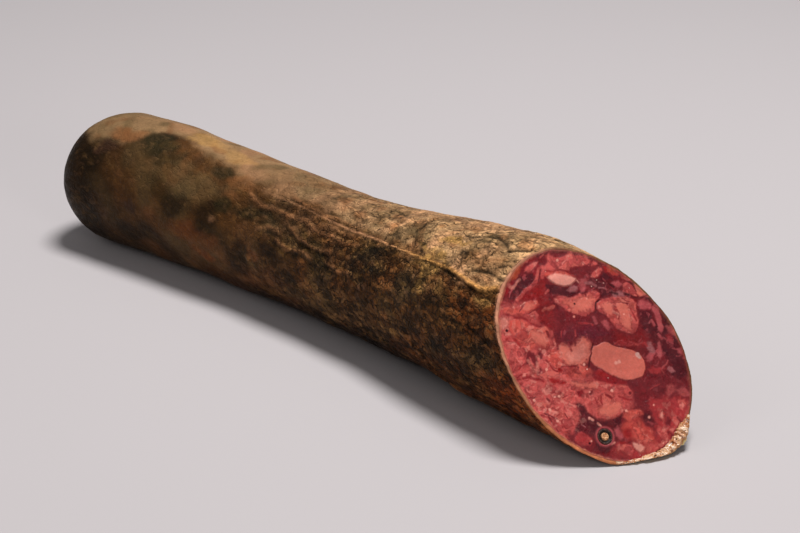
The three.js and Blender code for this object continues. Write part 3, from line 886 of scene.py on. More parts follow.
        (-9, 26.4), (-8, 27.1), (-6.4, 27.4), (-4.4, 27), (-2.4, 26.2), (-0.6, 25.6), (0.5, 24.9),
        (-0.3, 24), (-1.6, 23.4), (-3.4, 23.1), (-5, 23.4), (-6.4, 24), (-7.8, 24.8), (-8.6, 25.6),
    )),
    # upper right
    ("pink", 0.25, 0.25, (
        (5.3, 24.6), (6.4, 25.7), (7.4, 26.6), (8.4, 27.3), (9.7, 27), (9.6, 26.2), (8.8, 25.2),
        (7.6, 24.4), (6.4, 24.2),
    )),
    ("pink", 0.25, 0.25, ((6.2, 28), (6.4, 28.8), (7.4, 29.5), (8.5, 29), (8.5, 28.2), (7.4, 27.8))),
    ("almost red", 0.5, 0.4, (
        (8.8, 29.2), (9.8, 28.8), (11, 28.4), (11.2, 26), (11.2, 24.4), (10.2, 25.4), (10, 27.4),
    )),
    ("flame", 0.3, 0.3, (
        (11.6, 27.9), (12.8, 28), (14, 27.2), (15.2, 25.6), (15.4, 24.4), (14.4, 23.7), (12.6, 23.8),
        (11.5, 24.6), (11.2, 25.8),
    )),
    ("orange", 0.8, 0.3, ((12, 26.8), (13, 27.2), (14, 26.4), (13.8, 25.2), (12.6, 25), (12, 25.8))),
    ("pink", 0.3, 0.4, (
        (15.4, 24.4), (17, 23.6), (18.8, 22.2), (20.6, 20.2), (19.4, 20.8), (17.8, 21.4), (16.6, 22.2),
        (15.4, 22.9),
    )),
    ("dusky", 0.3, 0.35, (
        (11.2, 21.6), (12.6, 22), (13.8, 22.2), (15, 21.4), (15.2, 20.5), (14, 20.1), (12.6, 20.5),
    )),
    ("pink", 0.22, 0.3, (
        (15.2, 20.9), (16.4, 21.3), (17.4, 20.7), (18.2, 19.5), (18.6, 18), (19, 16.8), (18.4, 16.2),
        (17, 16.9), (15.8, 17.7), (15, 18.6), (15.1, 19.8),
    )),
    ("salmon", 0.22, 0.3, (
        (18.5, 19.9), (19.2, 20.5), (20.4, 20), (21.5, 18.6), (22.4, 17), (22.2, 16), (20.6, 16.2),
        (19.6, 16.4), (18.9, 17.6),
    )),
    ("ash rose", 0.4, 0.4, (
        (10.8, 19.3), (12.4, 18.5), (13.8, 18.7), (15, 17.9), (14.6, 17), (13, 17.1), (11.4, 17.4),
    )),
    ("dusky", 0.4, 0.3, (
        (0.5, 22.6), (1.2, 23.7), (2.2, 24.4), (3.4, 24.7), (3.8, 23.4), (3, 22.6), (2.8, 21.2),
        (2, 20.4), (1, 20.4), (0.6, 21.4),
    )),
    ("ash rose", 0.35, 0.3, (
        (-3.5, 21.8), (-2.4, 22.8), (-1, 22.9), (0, 22.2), (0.2, 21.4), (-1.2, 20.9), (-2.6, 21.2),
    )),
    ("dusky", 0.4, 0.4, (
        (18.3, 13.7), (20, 14.7), (22, 14.3), (23.4, 13), (22.6, 11.7), (20.6, 11.9), (19, 12.3),
    )),
    ("dusky", 0.4, 0.4, (
        (22, 16), (23.2, 15.6), (24.6, 14.8), (25.6, 13.2), (24.4, 13.2), (23, 14.6), (21.4, 15.2),
    )),
    ("dusky", 0.22, 0.25, (
        (22.9, 12), (23.8, 13), (25, 12.6), (25.4, 10.8), (25.2, 8.6), (24.9, 6.2), (24.7, 4.2),
        (24, 3.6), (23.4, 4.6), (23.4, 6.6), (23.1, 9),
    )),
    ("brown rose", 0.5, 0.4, (
        (26, 5.4), (27.8, 6), (29.2, 4.2), (30, 2), (30.4, -1), (29, 0), (28, 2.2), (26.8, 3.6),
    )),
    ("wine", 0.4, 0.4, ((25.2, 2.8), (26.8, 2.8), (27.5, 1.4), (26.6, 0.5), (25.4, 1))),
    ("dusky", 0.4, 0.35, ((27.7, -1.9), (29, -1.7), (29.5, -2.8), (28.8, -3.9), (27.8, -3.2))),
    # right
    ("dusky", 0.3, 0.35, (
        (16.5, -4.2), (17.4, -2.8), (18.6, -1.8), (19.6, -1.3), (20, -2.6), (19.4, -4), (18, -4.7),
    )),
    ("ash rose", 0.4, 0.35, (
        (18.2, -0.2), (18.8, 1.7), (19.8, 1.7), (20, -0.4), (19.8, -2), (18.8, -1.6),
    )),
    ("dusky", 0.3, 0.35, (
        (21, -1.8), (21.8, 0.6), (22.8, 1.4), (22.6, -1), (22.4, -3.2), (21.4, -4.4), (20.8, -3.2),
    )),
    ("rose", 0.5, 0.5, (
        (16.6, -6.8), (18.4, -6.5), (20, -6.8), (21.6, -7.2), (20.6, -8.3), (18.8, -8.5), (17, -8.1),
    )),
    ("rose", 0.4, 0.4, ((8.6, 2.4), (11, 3.1), (13.4, 2.5), (15, 1.2), (12.4, 0.9), (10, 1.4))),
    ("ash rose", 0.22, 0.25, (
        (22.7, -7.6), (23.6, -6.9), (24.6, -7.8), (25.3, -8.8), (24, -9), (23, -8.4),
    )),
    ("brown rose", 0.5, 0.4, (
        (20.7, -14.8), (21.8, -12.8), (23.2, -12.5), (24.5, -13.2), (23.8, -14.6), (22, -15.8),
        (20.8, -16.4),
    )),
    ("brown rose", 0.4, 0.4, (
        (24.4, -14.6), (26, -14.3), (27.6, -15.2), (28, -16.8), (26.4, -17.2), (24.8, -15.8),
    )),
    # below
    ("pink", 0.3, 0.35, (
        (-6.7, -13.6), (-5.4, -11.8), (-3.8, -10.8), (-2, -10.4), (-0.6, -11), (0.8, -11.2), (2, -12.4),
        (4, -13.2), (5.6, -12.8), (5.4, -15), (6.2, -16.2), (5.4, -17.8), (4, -18.5), (2, -19.3),
        (0, -19.7), (-1.8, -19.5), (-3.6, -18.9), (-5.2, -17.9), (-6.4, -16.6), (-6.7, -15),
    )),
    ("salmon", 0.9, 0.4, (
        (-3.6, -16.6), (-1, -15.4), (2.4, -14.8), (4.6, -15.6), (4.6, -17.2), (2.4, -18.6), (-0.4, -19),
        (-2.8, -18.2),
    )),
    ("pink", 0.35, 0.35, (
        (4.8, -10.2), (7.2, -10.3), (8.8, -11), (9.1, -12.4), (7.6, -13.5), (6, -12.9), (5.2, -11.6),
    )),
    ("wine", 0.35, 0.4, (
        (-8.4, -9.8), (-5.8, -9.8), (-6, -11.2), (-6.6, -12.6), (-7.4, -11.8), (-8.4, -10.8),
    )),
    ("rose", 0.35, 0.45, (
        (-13, -23.2), (-11.4, -22.3), (-9.6, -22.5), (-8.6, -23.4), (-7.4, -24.4), (-7.2, -25.6),
        (-8.4, -26.7), (-10.2, -26.6), (-12, -25.6), (-13.2, -24.4),
    )),
    ("coral", 0.5, 0.4, (
        (5.2, -18.8), (7.8, -18.4), (10.2, -18.6), (10.8, -20), (8, -21.6), (5.4, -21), (4.2, -20),
    )),
    ("flame", 0.7, 0.4, (
        (3.4, -22.6), (5, -21.2), (7, -21), (9.8, -21), (10.6, -23), (11, -24.2), (12.8, -24.6),
        (13.4, -26.2), (12, -27.2), (10.4, -26.4), (8, -26.8), (5.8, -27), (4.2, -26.8), (3, -25),
    )),
    ("almost red", 0.6, 0.4, (
        (3.6, -24), (5, -23.4), (6, -24.4), (5.8, -26.4), (4.4, -26.6), (3.4, -25.4),
    )),
    ("coral", 0.7, 0.4, (
        (6.2, -27), (6.8, -24.2), (7.8, -22.4), (9, -22.8), (9.8, -25.2), (10.8, -27), (12.8, -27.8),
        (12.8, -29), (10, -28.8), (7.6, -28.6),
    )),
    ("pale", 0.35, 0.35, (
        (5.4, -28.2), (6.6, -28.5), (8, -29.1), (9, -30), (8.2, -31.1), (6.8, -31.1), (5.7, -30.2),
        (5.4, -29.2),
    )),
    ("dusky", 0.4, 0.4, ((1, -23.4), (2.2, -22.9), (3.1, -24.6), (3, -26.3), (1.8, -26.9), (1, -25.4))),
    ("pink", 0.3, 0.4, (
        (1.6, -29), (3.4, -28.2), (5, -28.8), (5.4, -30.4), (4.4, -31.7), (2.8, -31.5), (1.5, -30.4),
    )),
    ("pink", 0.3, 0.4, (
        (9.6, -30), (11, -29.5), (12.8, -30), (13.6, -31), (12.4, -32.3), (10.4, -32.1), (9.4, -31.2),
    )),
    ("pink", 0.35, 0.4, (
        (15, -24.2), (16.8, -25.2), (17.6, -27), (17, -29), (15.8, -29.4), (14.8, -27.8), (14.4, -26),
    )),
    ("pink", 0.4, 0.4, ((18.5, -26.2), (20.6, -25.5), (21.3, -26.8), (19.8, -28.1), (18.7, -27.6))),
    ("pink", 0.25, 0.3, (
        (16.1, -22.4), (16.3, -21), (17.2, -20), (18.7, -19.3), (18.5, -20.8), (17.7, -22.4),
        (16.8, -22.9),
    )),
    ("pale", 0.35, 0.25, ((16.7, -21.8), (17, -20.8), (18.2, -19.9), (17.8, -21.4), (17.2, -22.2))),
    ("rose", 0.4, 0.4, (
        (15.4, -17.2), (17.4, -16.3), (19.7, -17), (20.2, -18.6), (18, -19.7), (15.8, -19.5),
    )),
    ("pink", 0.4, 0.4, ((23.8, -17.9), (25.6, -18.3), (26.1, -19.8), (24.6, -20.3), (23.7, -19.2))),
    ("pink", 0.5, 0.4, ((20.6, -21.2), (22, -21.8), (22.7, -24), (21.6, -25.1), (20.4, -23.6))),
    ("lean", 0.4, 0.4, ((17.2, -24.2), (18.8, -22), (19.7, -23.4), (19, -25), (17.6, -25.2))),
)

# Thin streaks: a shade, the points they run through and half their width.
STREAKS = (
    ("pink", (
        (-20.4, 21.1), (-18.6, 22.4), (-17, 23.6), (-15.2, 24.2), (-13.6, 25.3), (-12.6, 26.3),
        (-12, 27.6), (-11, 29.4),
    ), 0.5),
    ("pink", ((-10.5, 26.8), (-10.1, 28.6), (-9.7, 30)), 0.5),
    ("lean", ((-12.2, 25.8), (-11.3, 27.4), (-10.4, 29.4)), 0.28),
    ("pale rose", ((-21, 24.9), (-19.9, 25.6), (-19.2, 26.4), (-18, 27.1)), 0.36),
    ("pale rose", ((-22, 26.1), (-21.5, 25.4), (-20.6, 25.1)), 0.5),
    ("dusky", ((-21, 24.6), (-22, 23.4), (-22.6, 22.4)), 0.2),
    ("pink", ((-15.3, 32.5), (-14.2, 32.4)), 0.25),
    ("pink", ((-9.7, 33.2), (-8.5, 33.7)), 0.22),
    ("red", ((-9, 28.7), (-6.6, 28.3), (-4.2, 28.4), (-2.4, 27.5), (-1.4, 26.7)), 0.3),
    ("lean", ((1.3, 33.3), (2, 32.1), (2.9, 32.6), (4.3, 31.9)), 0.34),
    ("lean", ((6, 30.7), (7.1, 30.1), (6.4, 29.3), (6, 28.1)), 0.3),
    ("lean", ((5.6, 27), (7, 27.8), (8.4, 28), (9.6, 27.4)), 0.22),
    ("pink", ((-10.7, 21.9), (-9.6, 22.6)), 0.35),
    ("lean", ((-20.4, 17.3), (-19.2, 18.5), (-18.2, 19.8)), 0.17),
    ("lean", ((-17.5, 16.1), (-16, 16.9), (-14.2, 17.2)), 0.2),
    ("pale", ((-19.7, 19.1), (-18, 20)), 0.2),
    ("wine", (
        (-25.4, 17.6), (-23.8, 16.3), (-22, 15.5), (-20, 15.1), (-18.6, 14.1), (-17.6, 12.9),
        (-15.6, 11.9), (-13, 12), (-11, 11.4),
    ), 0.42),
    ("salmon", ((-12.8, 16.6), (-11.8, 17.2)), 0.4),
    ("salmon", ((-10.9, 16.9), (-9.2, 17.1)), 0.5),
    ("almost red", ((-26.6, 9.4), (-25, 9.8), (-23.9, 8.7), (-23.2, 7.3)), 0.5),
    ("pale rose", ((-28, 12.2), (-26.8, 11.8), (-25.6, 10.8)), 0.3),
    ("lean", ((-13.3, 9.8), (-12.8, 8), (-12.2, 5.5)), 0.48),
    ("lean", ((-10.8, 10), (-11, 8), (-10.6, 6.4), (-11.3, 4)), 0.36),
    ("pink", ((-11.7, 9.8), (-11.9, 7.6), (-11.6, 5.6)), 0.36),
    ("pale rose", ((-21.4, 1.8), (-20.9, 0), (-20.4, -1.7)), 0.5),
    ("pale rose", ((-18, 2.7), (-18.6, 0.7), (-19.4, -1.4), (-19.4, -2.6)), 0.5),
    ("lean", ((-18.4, -0.5), (-18.3, -1.6), (-19.1, -2.4)), 0.32),
    ("wine", ((-15.9, 1.2), (-15, -0.6), (-14.2, -2), (-13, -2.9)), 0.25),
    ("wine", ((-11.4, -1.7), (-10, -1.6), (-8.4, -2.1), (-6.6, -2.3)), 0.2),
    ("wine", ((-24.4, -3.1), (-22.4, -3), (-21, -3.8), (-19.6, -4.2), (-18.4, -5.1)), 0.42),
    ("wine", ((-22.4, 1.4), (-24.4, 0.6), (-25, -0.2)), 0.22),
    ("wine", ((-26.2, -2.5), (-24.8, -1.9)), 0.35),
    ("wine", ((-27.6, 1.9), (-26.5, 1.6)), 0.3),
    ("lean", ((-7.3, 5), (-6.9, 3)), 0.34),
    ("lean", ((-5, 6), (-5.2, 4.5)), 0.3),
    ("char", ((0.6, 4), (-0.3, 2.2), (-1, 0.5), (-2, -1.1), (-2.7, -3.2)), 0.2),
    ("char", ((6.3, 17.1), (5, 16.5), (4.4, 15.2), (4.2, 14), (3.8, 13.3)), 0.24),
    ("lean", ((1.2, 12.9), (3.6, 13.2), (5.2, 12.3), (6.6, 11)), 0.4),
    ("lean", ((2.2, 19.2), (2.2, 18.7)), 0.3),
    ("lean", ((10.4, 15.5), (13.2, 15.3), (15, 14.6), (17.4, 14.4)), 0.2),
    ("wine", ((11, 15.2), (10.8, 13.6), (11.5, 12), (11, 10.2)), 0.24),
    ("wine", ((15, 14.6), (16.1, 12), (16.7, 9)), 0.3),
    ("lean", ((14, 16.5), (15, 15.4), (16.5, 14.9)), 0.15),
    ("char", (
        (15.2, 17.7), (16.4, 17.2), (17.6, 16.2), (19, 15.8), (20.6, 15.6), (21.6, 15), (23, 14.7),
        (24.8, 14.2),
    ), 0.32),
    ("char", ((10, 22.2), (11.3, 21), (12.2, 20.2)), 0.34),
    ("char", ((10.3, 19.3), (11.4, 18.4), (12.8, 17.9)), 0.36),
    ("lean", ((18.2, 20.6), (18.5, 19.2), (18.8, 17.8)), 0.18),
    ("lean", ((15.6, 22.2), (16.8, 21.6), (17.8, 20.8)), 0.2),
    ("dusky", ((2.8, 11.9), (3.2, 10.2)), 0.5),
    ("rose", ((-2.2, 11), (0, 10.6), (2, 9.6)), 0.32),
    ("rose", ((-9.2, 7.6), (-8.7, 9.4)), 0.2),
    ("rose", ((-4.6, 7), (-4, 8.8)), 0.22),
    ("ash rose", ((6.8, 21), (8.4, 20.6), (9.6, 19.8)), 0.2),
    ("ash rose", ((7.4, 22.7), (9, 22)), 0.18),
    ("ash rose", ((3, 23), (5, 22.7), (6, 21.8)), 0.42),
    ("pale", ((0.4, 24.3), (1, 23.2)), 0.24),
    ("lean", ((4, 4.3), (5.6, 3.9), (7.2, 2.5), (8.4, 2), (10.4, 1), (12.6, 0.5), (13.8, -0.4)), 0.22),
    ("rose", ((7.6, 2.7), (9.6, 3.6), (10.6, 3.4)), 0.25),
    ("rose", ((15, 1), (17.6, 1.4), (18.2, 0.4)), 0.32),
    ("dusky", ((20.8, 7.6), (21.9, 8.2), (22.3, 6.5)), 0.4),
    ("dusky", ((23, 3.4), (23.6, 1.8)), 0.4),
    ("brown rose", ((23.7, -5.4), (22.8, -6.4), (21.6, -6.8), (20.8, -7.6), (21.3, -8.8)), 0.22),
    ("rose", ((15.6, -12.8), (17.4, -12.2), (18.9, -11.8)), 0.18),
    ("lean", ((24, -16.2), (25.8, -17), (27.4, -17.5), (27.6, -19)), 0.3),
    ("lean", ((-20.2, -14.7), (-18.8, -15.6), (-17.4, -16.8), (-16.7, -17)), 0.24),
    ("lean", ((-19.4, -15.8), (-18.8, -17.4), (-18.6, -18.4), (-17.9, -19.1)), 0.26),
    ("lean", ((-18.5, -10.3), (-17.8, -11.1)), 0.3),
    ("lean", ((-14, -16), (-13.4, -17.4)), 0.16),
    ("lean", ((-17.8, -19.6), (-17.4, -21)), 0.16),
    ("lean", ((-14.4, -22.8), (-13, -22.8), (-13.6, -23.5)), 0.26),
    ("char", ((-23.5, -9.1), (-22.6, -9.6), (-21.9, -9.1)), 0.14),
    ("wine", ((-13.5, -10.9), (-11.2, -10.4), (-9.4, -10.6)), 0.18),
    ("wine", ((-3.3, -12.6), (-2.8, -14.4)), 0.22),
    ("wine", ((-1.1, -12.4), (-1.6, -14.2), (-1.2, -15.1)), 0.22),
    ("wine", ((0.7, -12.5), (2.1, -13.7)), 0.4),
    ("wine", ((5, -13.5), (6.4, -14.3), (8.6, -15.2)), 0.4),
    ("lean", ((-3.4, -10.6), (-4.4, -11.4)), 0.3),
    ("pale", ((-6.5, -18.6), (-5.3, -19.2)), 0.34),
    ("pale", ((-4.1, -20.5), (-3.4, -21.4)), 0.32),
    ("pale", ((-1.3, -27.6), (-0.3, -27.2)), 0.28),
    ("ash rose", ((-9.5, -20), (-8.5, -20.9)), 0.16),
    ("almost red", ((1.5, -27.4), (3, -27.8), (4.8, -27.2)), 0.4),
    ("lean", ((22.1, -22.9), (23, -24.8)), 0.3),
    ("lean", ((20, -27.2), (21.4, -26.6), (23, -25.4)), 0.26),
    ("lean", ((18, -27.2), (18.6, -28.5)), 0.6),
    ("brown", ((12.6, -32.4), (15, -31.5), (17.2, -30.6), (19.6, -29), (22, -27.4)), 0.5),
)

# Single dots: shade, place and radius. Many of the pale, almond and ash dots are painted glints, that is
# painted highlights, among pale specks of fat.
DOTS = (
    ("char", (-2.2, 17.05), 0.34), ("char", (-26, 12.2), 0.42), ("lean", (-6, -2.6), 0.3),
    ("lean", (-27.8, -0.6), 0.45), ("char", (-8.4, -26), 0.4), ("lean", (8.6, -13.1), 0.5),
    ("lean", (-1.7, 33), 0.4), ("pale", (2.2, 18), 0.3), ("pale", (-4.3, 31.4), 0.4),
    ("pale", (-16.4, -1.6), 0.42), ("pale", (-3.9, -2), 0.42), ("pale", (-18.4, -13.9), 0.45),
    ("pale", (-16.8, -17.6), 0.42), ("pale", (-14.4, -10.3), 0.4), ("pale", (-15.8, -10.3), 0.3),
    ("pale", (-22.6, -10.2), 0.45), ("almond", (2.9, -11.35), 0.5), ("almond", (-4.3, -10.6), 0.3),
    ("almond", (15.4, -18), 0.32), ("pale", (6, -18.2), 0.42), ("pale", (12.9, -21.4), 0.45),
    ("pale", (6.6, -3.2), 0.6), ("pale", (7.6, -3), 0.6), ("ash", (14.2, -1.7), 0.75),
    ("ash", (14.6, -2.5), 0.6), ("almond", (13.1, 11.4), 0.24), ("pale rose", (-3.3, 13.2), 0.35),
    ("pale", (-7.6, -25.4), 0.3), ("almond", (15.4, -30), 0.25), ("almond", (16.6, -29.7), 0.2),
    ("almond", (17.6, -29.6), 0.2),
)

# Broad parts of the cut that are a little darker: the middle, the reach both ways in mm, how much darker.
SHADED = (((0, 0), (60, 60), 0.1), ((16, 1), (14, 6), 0.2), ((-3, -31), (5, 3), 0.24), ((-6, 5), (9, 5), 0.1))


def to_segment(u, v, start, end):
    """Distance of each point from a straight piece of a line."""
    (u0, v0), du, dv = start, end[0] - start[0], end[1] - start[1]
    t = np.clip(((u - u0) * du + (v - v0) * dv) / (du * du + dv * dv), 0, 1)
    return np.hypot(u - u0 - t * du, v - v0 - t * dv)


def near_line(u, v, line):
    """Distance of each point from a broken line."""
    return np.min([to_segment(u, v, *ends) for ends in zip(line, line[1:])], axis=0)


def outline_distance(u, v, outline):
    """Distance of each point from a closed outline, below zero inside it."""
    sides = list(zip(outline, outline[1:] + outline[:1]))
    best = np.min([to_segment(u, v, *ends) for ends in sides], axis=0)
    inside = np.zeros(len(u), bool)
    for (u0, v0), (u1, v1) in sides:
        if v1 != v0:
            inside ^= ((v0 > v) != (v1 > v)) & (u < u0 + (v - v0) * (u1 - u0) / (v1 - v0))
    return np.where(inside, -best, best)


# How far round its outline a lump can still show, and how soft an edge counts as clean, in mm.
LUMP_REACH = 3
CLEAN_EDGE = 0.2

# How fatty each shade is: the fat stands a little above the lean.
FATNESS = {
    "lean": 0.15, "dark": 0.0, "plum": 0.1, "wine": 0.15, "red": 0.25, "rose": 0.6, "pink": 0.8,
    "salmon": 1.0, "coral": 0.85, "dusky": 0.5, "pale": 1.05, "orange": 0.9, "almond": 1.15,
    "pale rose": 0.95, "almost red": 0.3, "flame": 0.6, "ash rose": 0.5, "brown rose": 0.6,
    "char": -0.15, "brown": 0.0, "ash": 1.0,
}


def meat_shades(settings):
    """The shades of the cut: those of the settings and a few mixed from them."""
    shade = {name: np.array(getattr(settings, name)) for name in FATNESS if hasattr(settings, name)}
    grey = shade["pale"].mean()
    shade["almond"] = shade["pale"] * 1.06
    shade["pale rose"] = 0.55 * shade["pale"] + 0.45 * shade["salmon"]
    shade["almost red"] = shade["red"] * np.array([1.22, 0.95, 0.9])
    shade["orange"] = 0.6 * np.array(settings.stain) + 0.4 * shade["red"]
    shade["flame"] = 0.5 * shade["coral"] + 0.5 * shade["almost red"]
    shade["ash rose"] = 0.7 * shade["dusky"] + 0.12 * grey
    shade["brown rose"] = 0.75 * shade["dusky"] + 0.12 * shade["orange"]
    shade["ash"] = 0.7 * shade["pale"] + 0.3 * grey
    shade["char"] = shade["dark"] * 0.55
    shade["brown"] = 0.6 * shade["dark"] + 0.08 * shade["orange"]
    return shade


def paint_meat(u, v, shade):
    """The colour of the meat and how fatty it is at each place on the cut, and the place drawn aside."""
    flat = np.stack([u, v, np.zeros(len(u))], 1)
    push = drift(flat, 5.2, 31) * 1.5 + drift(flat, 2.0, 32) * 0.75 + drift(flat, 0.8, 33) * 0.3
    frill = grain(flat, 2.4, 35) + 0.7 * grain(flat, 1.1, 36) + 0.5 * grain(flat, 0.55, 37)
    broken = smooth(-0.75, -0.1, grain(flat, 1.6, 34))
    near_u, near_v = u + 0.2 * push[:, 0], v + 0.2 * push[:, 1]
    colours = np.tile(shade["lean"], (len(u), 1))
    fat = np.full(len(u), FATNESS["lean"])
    for name, edge, wander, outline in LUMPS:
        (left, low), (right, high) = np.min(outline, axis=0), np.max(outline, axis=0)
        near = (u > left - LUMP_REACH) & (u < right + LUMP_REACH)
        near &= (v > low - LUMP_REACH) & (v < high + LUMP_REACH)
        off = outline_distance(near_u[near], near_v[near], outline) + wander * frill[near]
        soft = edge if edge < CLEAN_EDGE else 1.3 * edge
        cover = smooth(soft, -soft, off)
        if FATNESS[name] > 0.7:
            colours[near] = blend(colours[near], 0.3 * bell(off - 0.25, 0.3), shade["red"] * 0.8)
        colours[near] = blend(colours[near], cover, shade[name])
        fat[near] += (FATNESS[name] - fat[near]) * cover
    for name, line, half in STREAKS:
        off = near_line(near_u, near_v, line) + 0.22 * half * frill
        strength = 0.62 if name == "pale rose" else 0.88
        cover = strength * smooth(1.7 * half, 0.4 * half, off) * broken
        colours = blend(colours, cover, shade[name])
        fat += (FATNESS[name] - fat) * cover
    return colours, fat, flat, u + push[:, 0], v + push[:, 1]


def flecks(colours, fat, flat, bent_u, bent_v, shade):
    """The fragments that the mixed parts are made of, their veins, and the flecks at the lower left."""
    u, v = flat[:, 0], flat[:, 1]
    bent = np.stack([bent_u, bent_v, flat[:, 2]], 1)
    torn = bent + 0.9 * drift(flat, 1.3, 55)
    clean = smooth(0.9, 1.0, fat)
    border, tone = fragments(torn * [1, 1.25, 1], 3.4, 41)
    small_border, small_tone = fragments(torn * [1, 1.15, 1], 1.5, 42)
    gaps = bell(border, 0.1) * smooth(-0.2, 0.25, grain(flat, 3.0, 43))
    small_gaps = bell(small_border, 0.12) * smooth(0.0, 0.35, grain(flat, 2.2, 44))
    veins = smooth(0.075, 0.0, np.abs(grain(torn * [1, 1.4, 1], 2.7, 56)))
    veins = veins * smooth(-0.1, 0.3, grain(flat, 4.2, 57))
    threads = smooth(0.09, 0.0, np.abs(grain(torn * [1.3, 1, 1], 1.3, 58)))
    threads = threads * smooth(-0.05, 0.35, grain(flat, 2.6, 59))
    mixed = smooth(0.4, 0.8, fat) * (1 - 0.9 * clean)
    dull = smooth(0.5, 0.15, fat)
    grainy = np.exp(-(((u + 16) / 8.5) ** 2 + ((v + 14.5) / 7) ** 2))
    speck = grain(torn, 1.1, 46)
    whole = smooth(0.05, 0.2, small_border)
    colours = lay_over(colours, (
        (0.5 * mixed * smooth(0.7, 1.0, tone), shade["salmon"]),
        (0.5 * mixed * smooth(0.34, 0.1, tone), shade["lean"] * 1.3),
        (0.42 * mixed * smooth(0.8, 1.0, small_tone), shade["pale"]),
        (0.42 * mixed * smooth(0.25, 0.05, small_tone), shade["red"] * 0.8),
        (0.5 * gaps * mixed, shade["lean"]),
        (0.36 * small_gaps * mixed, shade["red"] * 0.75),
        (0.55 * veins * mixed, shade["lean"]),
        (0.4 * threads * mixed, shade["red"] * 0.7),
        (0.5 * dull * smooth(0.86, 0.97, small_tone) * whole, shade["dusky"]),
        (0.3 * dull * smooth(0.75, 1.0, tone), shade["red"] * 0.7),
        (0.4 * dull * smooth(0.25, 0.0, tone), shade["dark"]),
        (0.4 * dull * threads, shade["dusky"] * 0.8),
        (grainy * smooth(0.15, 0.45, speck) * 0.45, shade["pale"]),
        (grainy * smooth(-0.15, -0.45, speck) * 0.6, shade["lean"]),
    ))
    soft = grain(bent, 2.2, 47) + 0.7 * grain(torn, 0.8, 49)
    broad = grain(flat, 8.5, 60)
    colours = colours * (1 + 0.13 * (soft * (1 - 0.4 * clean))[:, None] + 0.16 * broad[:, None])
    fat = fat - 0.5 * np.maximum(np.maximum(gaps, veins), 0.6 * small_gaps) * mixed + 0.1 * speck * grainy
    return colours, fat


def inner_neighbour(vertex, count):
    """The number of the vertex, one of the first count, that a vertex of the wall was drawn from."""
    others = (edge.other_vert(vertex).index for edge in vertex.link_edges)
    return min(index for index in others if index < count)


def build_meat(settings, skin_settings):
    """The meat: a square net of faces drawn to the cut's outline, with a short wall and a back."""
    bm = bmesh.new()
    bmesh.ops.create_grid(bm, x_segments=settings.across, y_segments=settings.across, size=1)
    grid = np.array([v.co for v in bm.verts])
    disc_u = grid[:, 0] * np.sqrt(1 - grid[:, 1] ** 2 / 2)
    disc_v = grid[:, 1] * np.sqrt(1 - grid[:, 0] ** 2 / 2)
    share = np.hypot(disc_u, disc_v)
    turn = np.arctan2(disc_v, disc_u)
    around = np.linspace(-np.pi, np.pi, 2 * 360 + 1)
    inset = -rim_thickness(around, skin_settings) + MEAT_UNDER_SKIN
    eu, ev, _ = to_cut(skin_points(cut_reach(around), around, inset))
    bearing, distance = np.arctan2(ev, eu), np.hypot(eu, ev)
    order = np.argsort(bearing)
    outline = np.interp(turn, bearing[order], distance[order], period=2 * np.pi)
    u, v = outline * share * np.cos(turn), outline * share * np.sin(turn)
    shade = meat_shades(settings)
    colours, fat, flat, bent_u, bent_v = paint_meat(u, v, shade)
    colours, fat = flecks(colours, fat, flat, bent_u, bent_v, shade)
    for name, (cu, cv), radius in DOTS:
        cover = smooth(1.3, 0.7, np.hypot(u - cu, v - cv) / radius + 0.35 * grain(flat, 0.8, 48))
        colours = blend(colours, cover, shade[name])
    for (cu, cv), (reach, rise), amount in SHADED:
        near = np.exp(-(((u - cu) / reach) ** 2) - ((v - cv) / rise) ** 2)
        colours *= (1 - amount * near)[:, None]
    pepper = np.hypot(u - PEPPERCORN_AT[0], v - PEPPERCORN_AT[1])
    halo = bell(pepper - 2.75, 0.45)
    colours = blend(colours, 0.75 * halo, shade["dusky"] * 1.05)
    out = -MEAT_RECESS + settings.relief / MM * (fat - 0.45)
    out = out + 0.1 * grain(flat, 2.6, 51) + 0.05 * grain(flat, 1.0, 52)
    out += 0.12 * halo - 1.6 * smooth(2.5, 2.1, pepper)
    out += (0.05 - out) * smooth(0.965, 1, share)
    shore = smooth(0.975, 0.994, share + 0.014 * grain(flat, 1.6, 53) + 0.01 * grain(flat, 0.6, 54))
    direction = np.arctan2(v, u)
    low_left = bell(direction + 2.1, 0.75) + bell(np.abs(direction) - 2.7, 0.7)
    edge_shade = 0.4 * np.array(skin_settings.rim_pale) + 0.3 * shade["coral"]
    colours = blend(colours, shore * np.clip(0.25 + 0.6 * low_left, 0, 0.85), edge_shade)
    points = from_cut(u, v, out)
    border = [e for e in bm.edges if e.is_boundary]
    wall = bmesh.ops.extrude_edge_only(bm, edges=border)["geom"]
    back = [g for g in wall if isinstance(g, bmesh.types.BMVert)]
    bm.verts.index_update()
    source = np.array([inner_neighbour(vertex, len(u)) for vertex in back])
    behind = from_cut(u[source] * MEAT_BACK, v[source] * MEAT_BACK, np.full(len(back), -MEAT_DEPTH))
    behind[:, 2] = np.maximum(behind[:, 2], MEAT_LOWEST)
    bmesh.ops.contextual_create(bm, geom=[g for g in wall if isinstance(g, bmesh.types.BMEdge)])
    bmesh.ops.triangulate(bm, faces=[f for f in bm.faces if len(f.verts) > 4])
    mesh = mesh_from("meat", bm, np.concatenate([points, behind]))
    colours = np.concatenate([colours, colours[source]])
    fat = np.concatenate([fat, fat[source]])
    write_mask(mesh, "tone", list(np.clip(colours, 0, 1).T))
    write_mask(mesh, "fat", [np.clip(fat, 0, 1)] * 3)
    return mesh


# Materials.


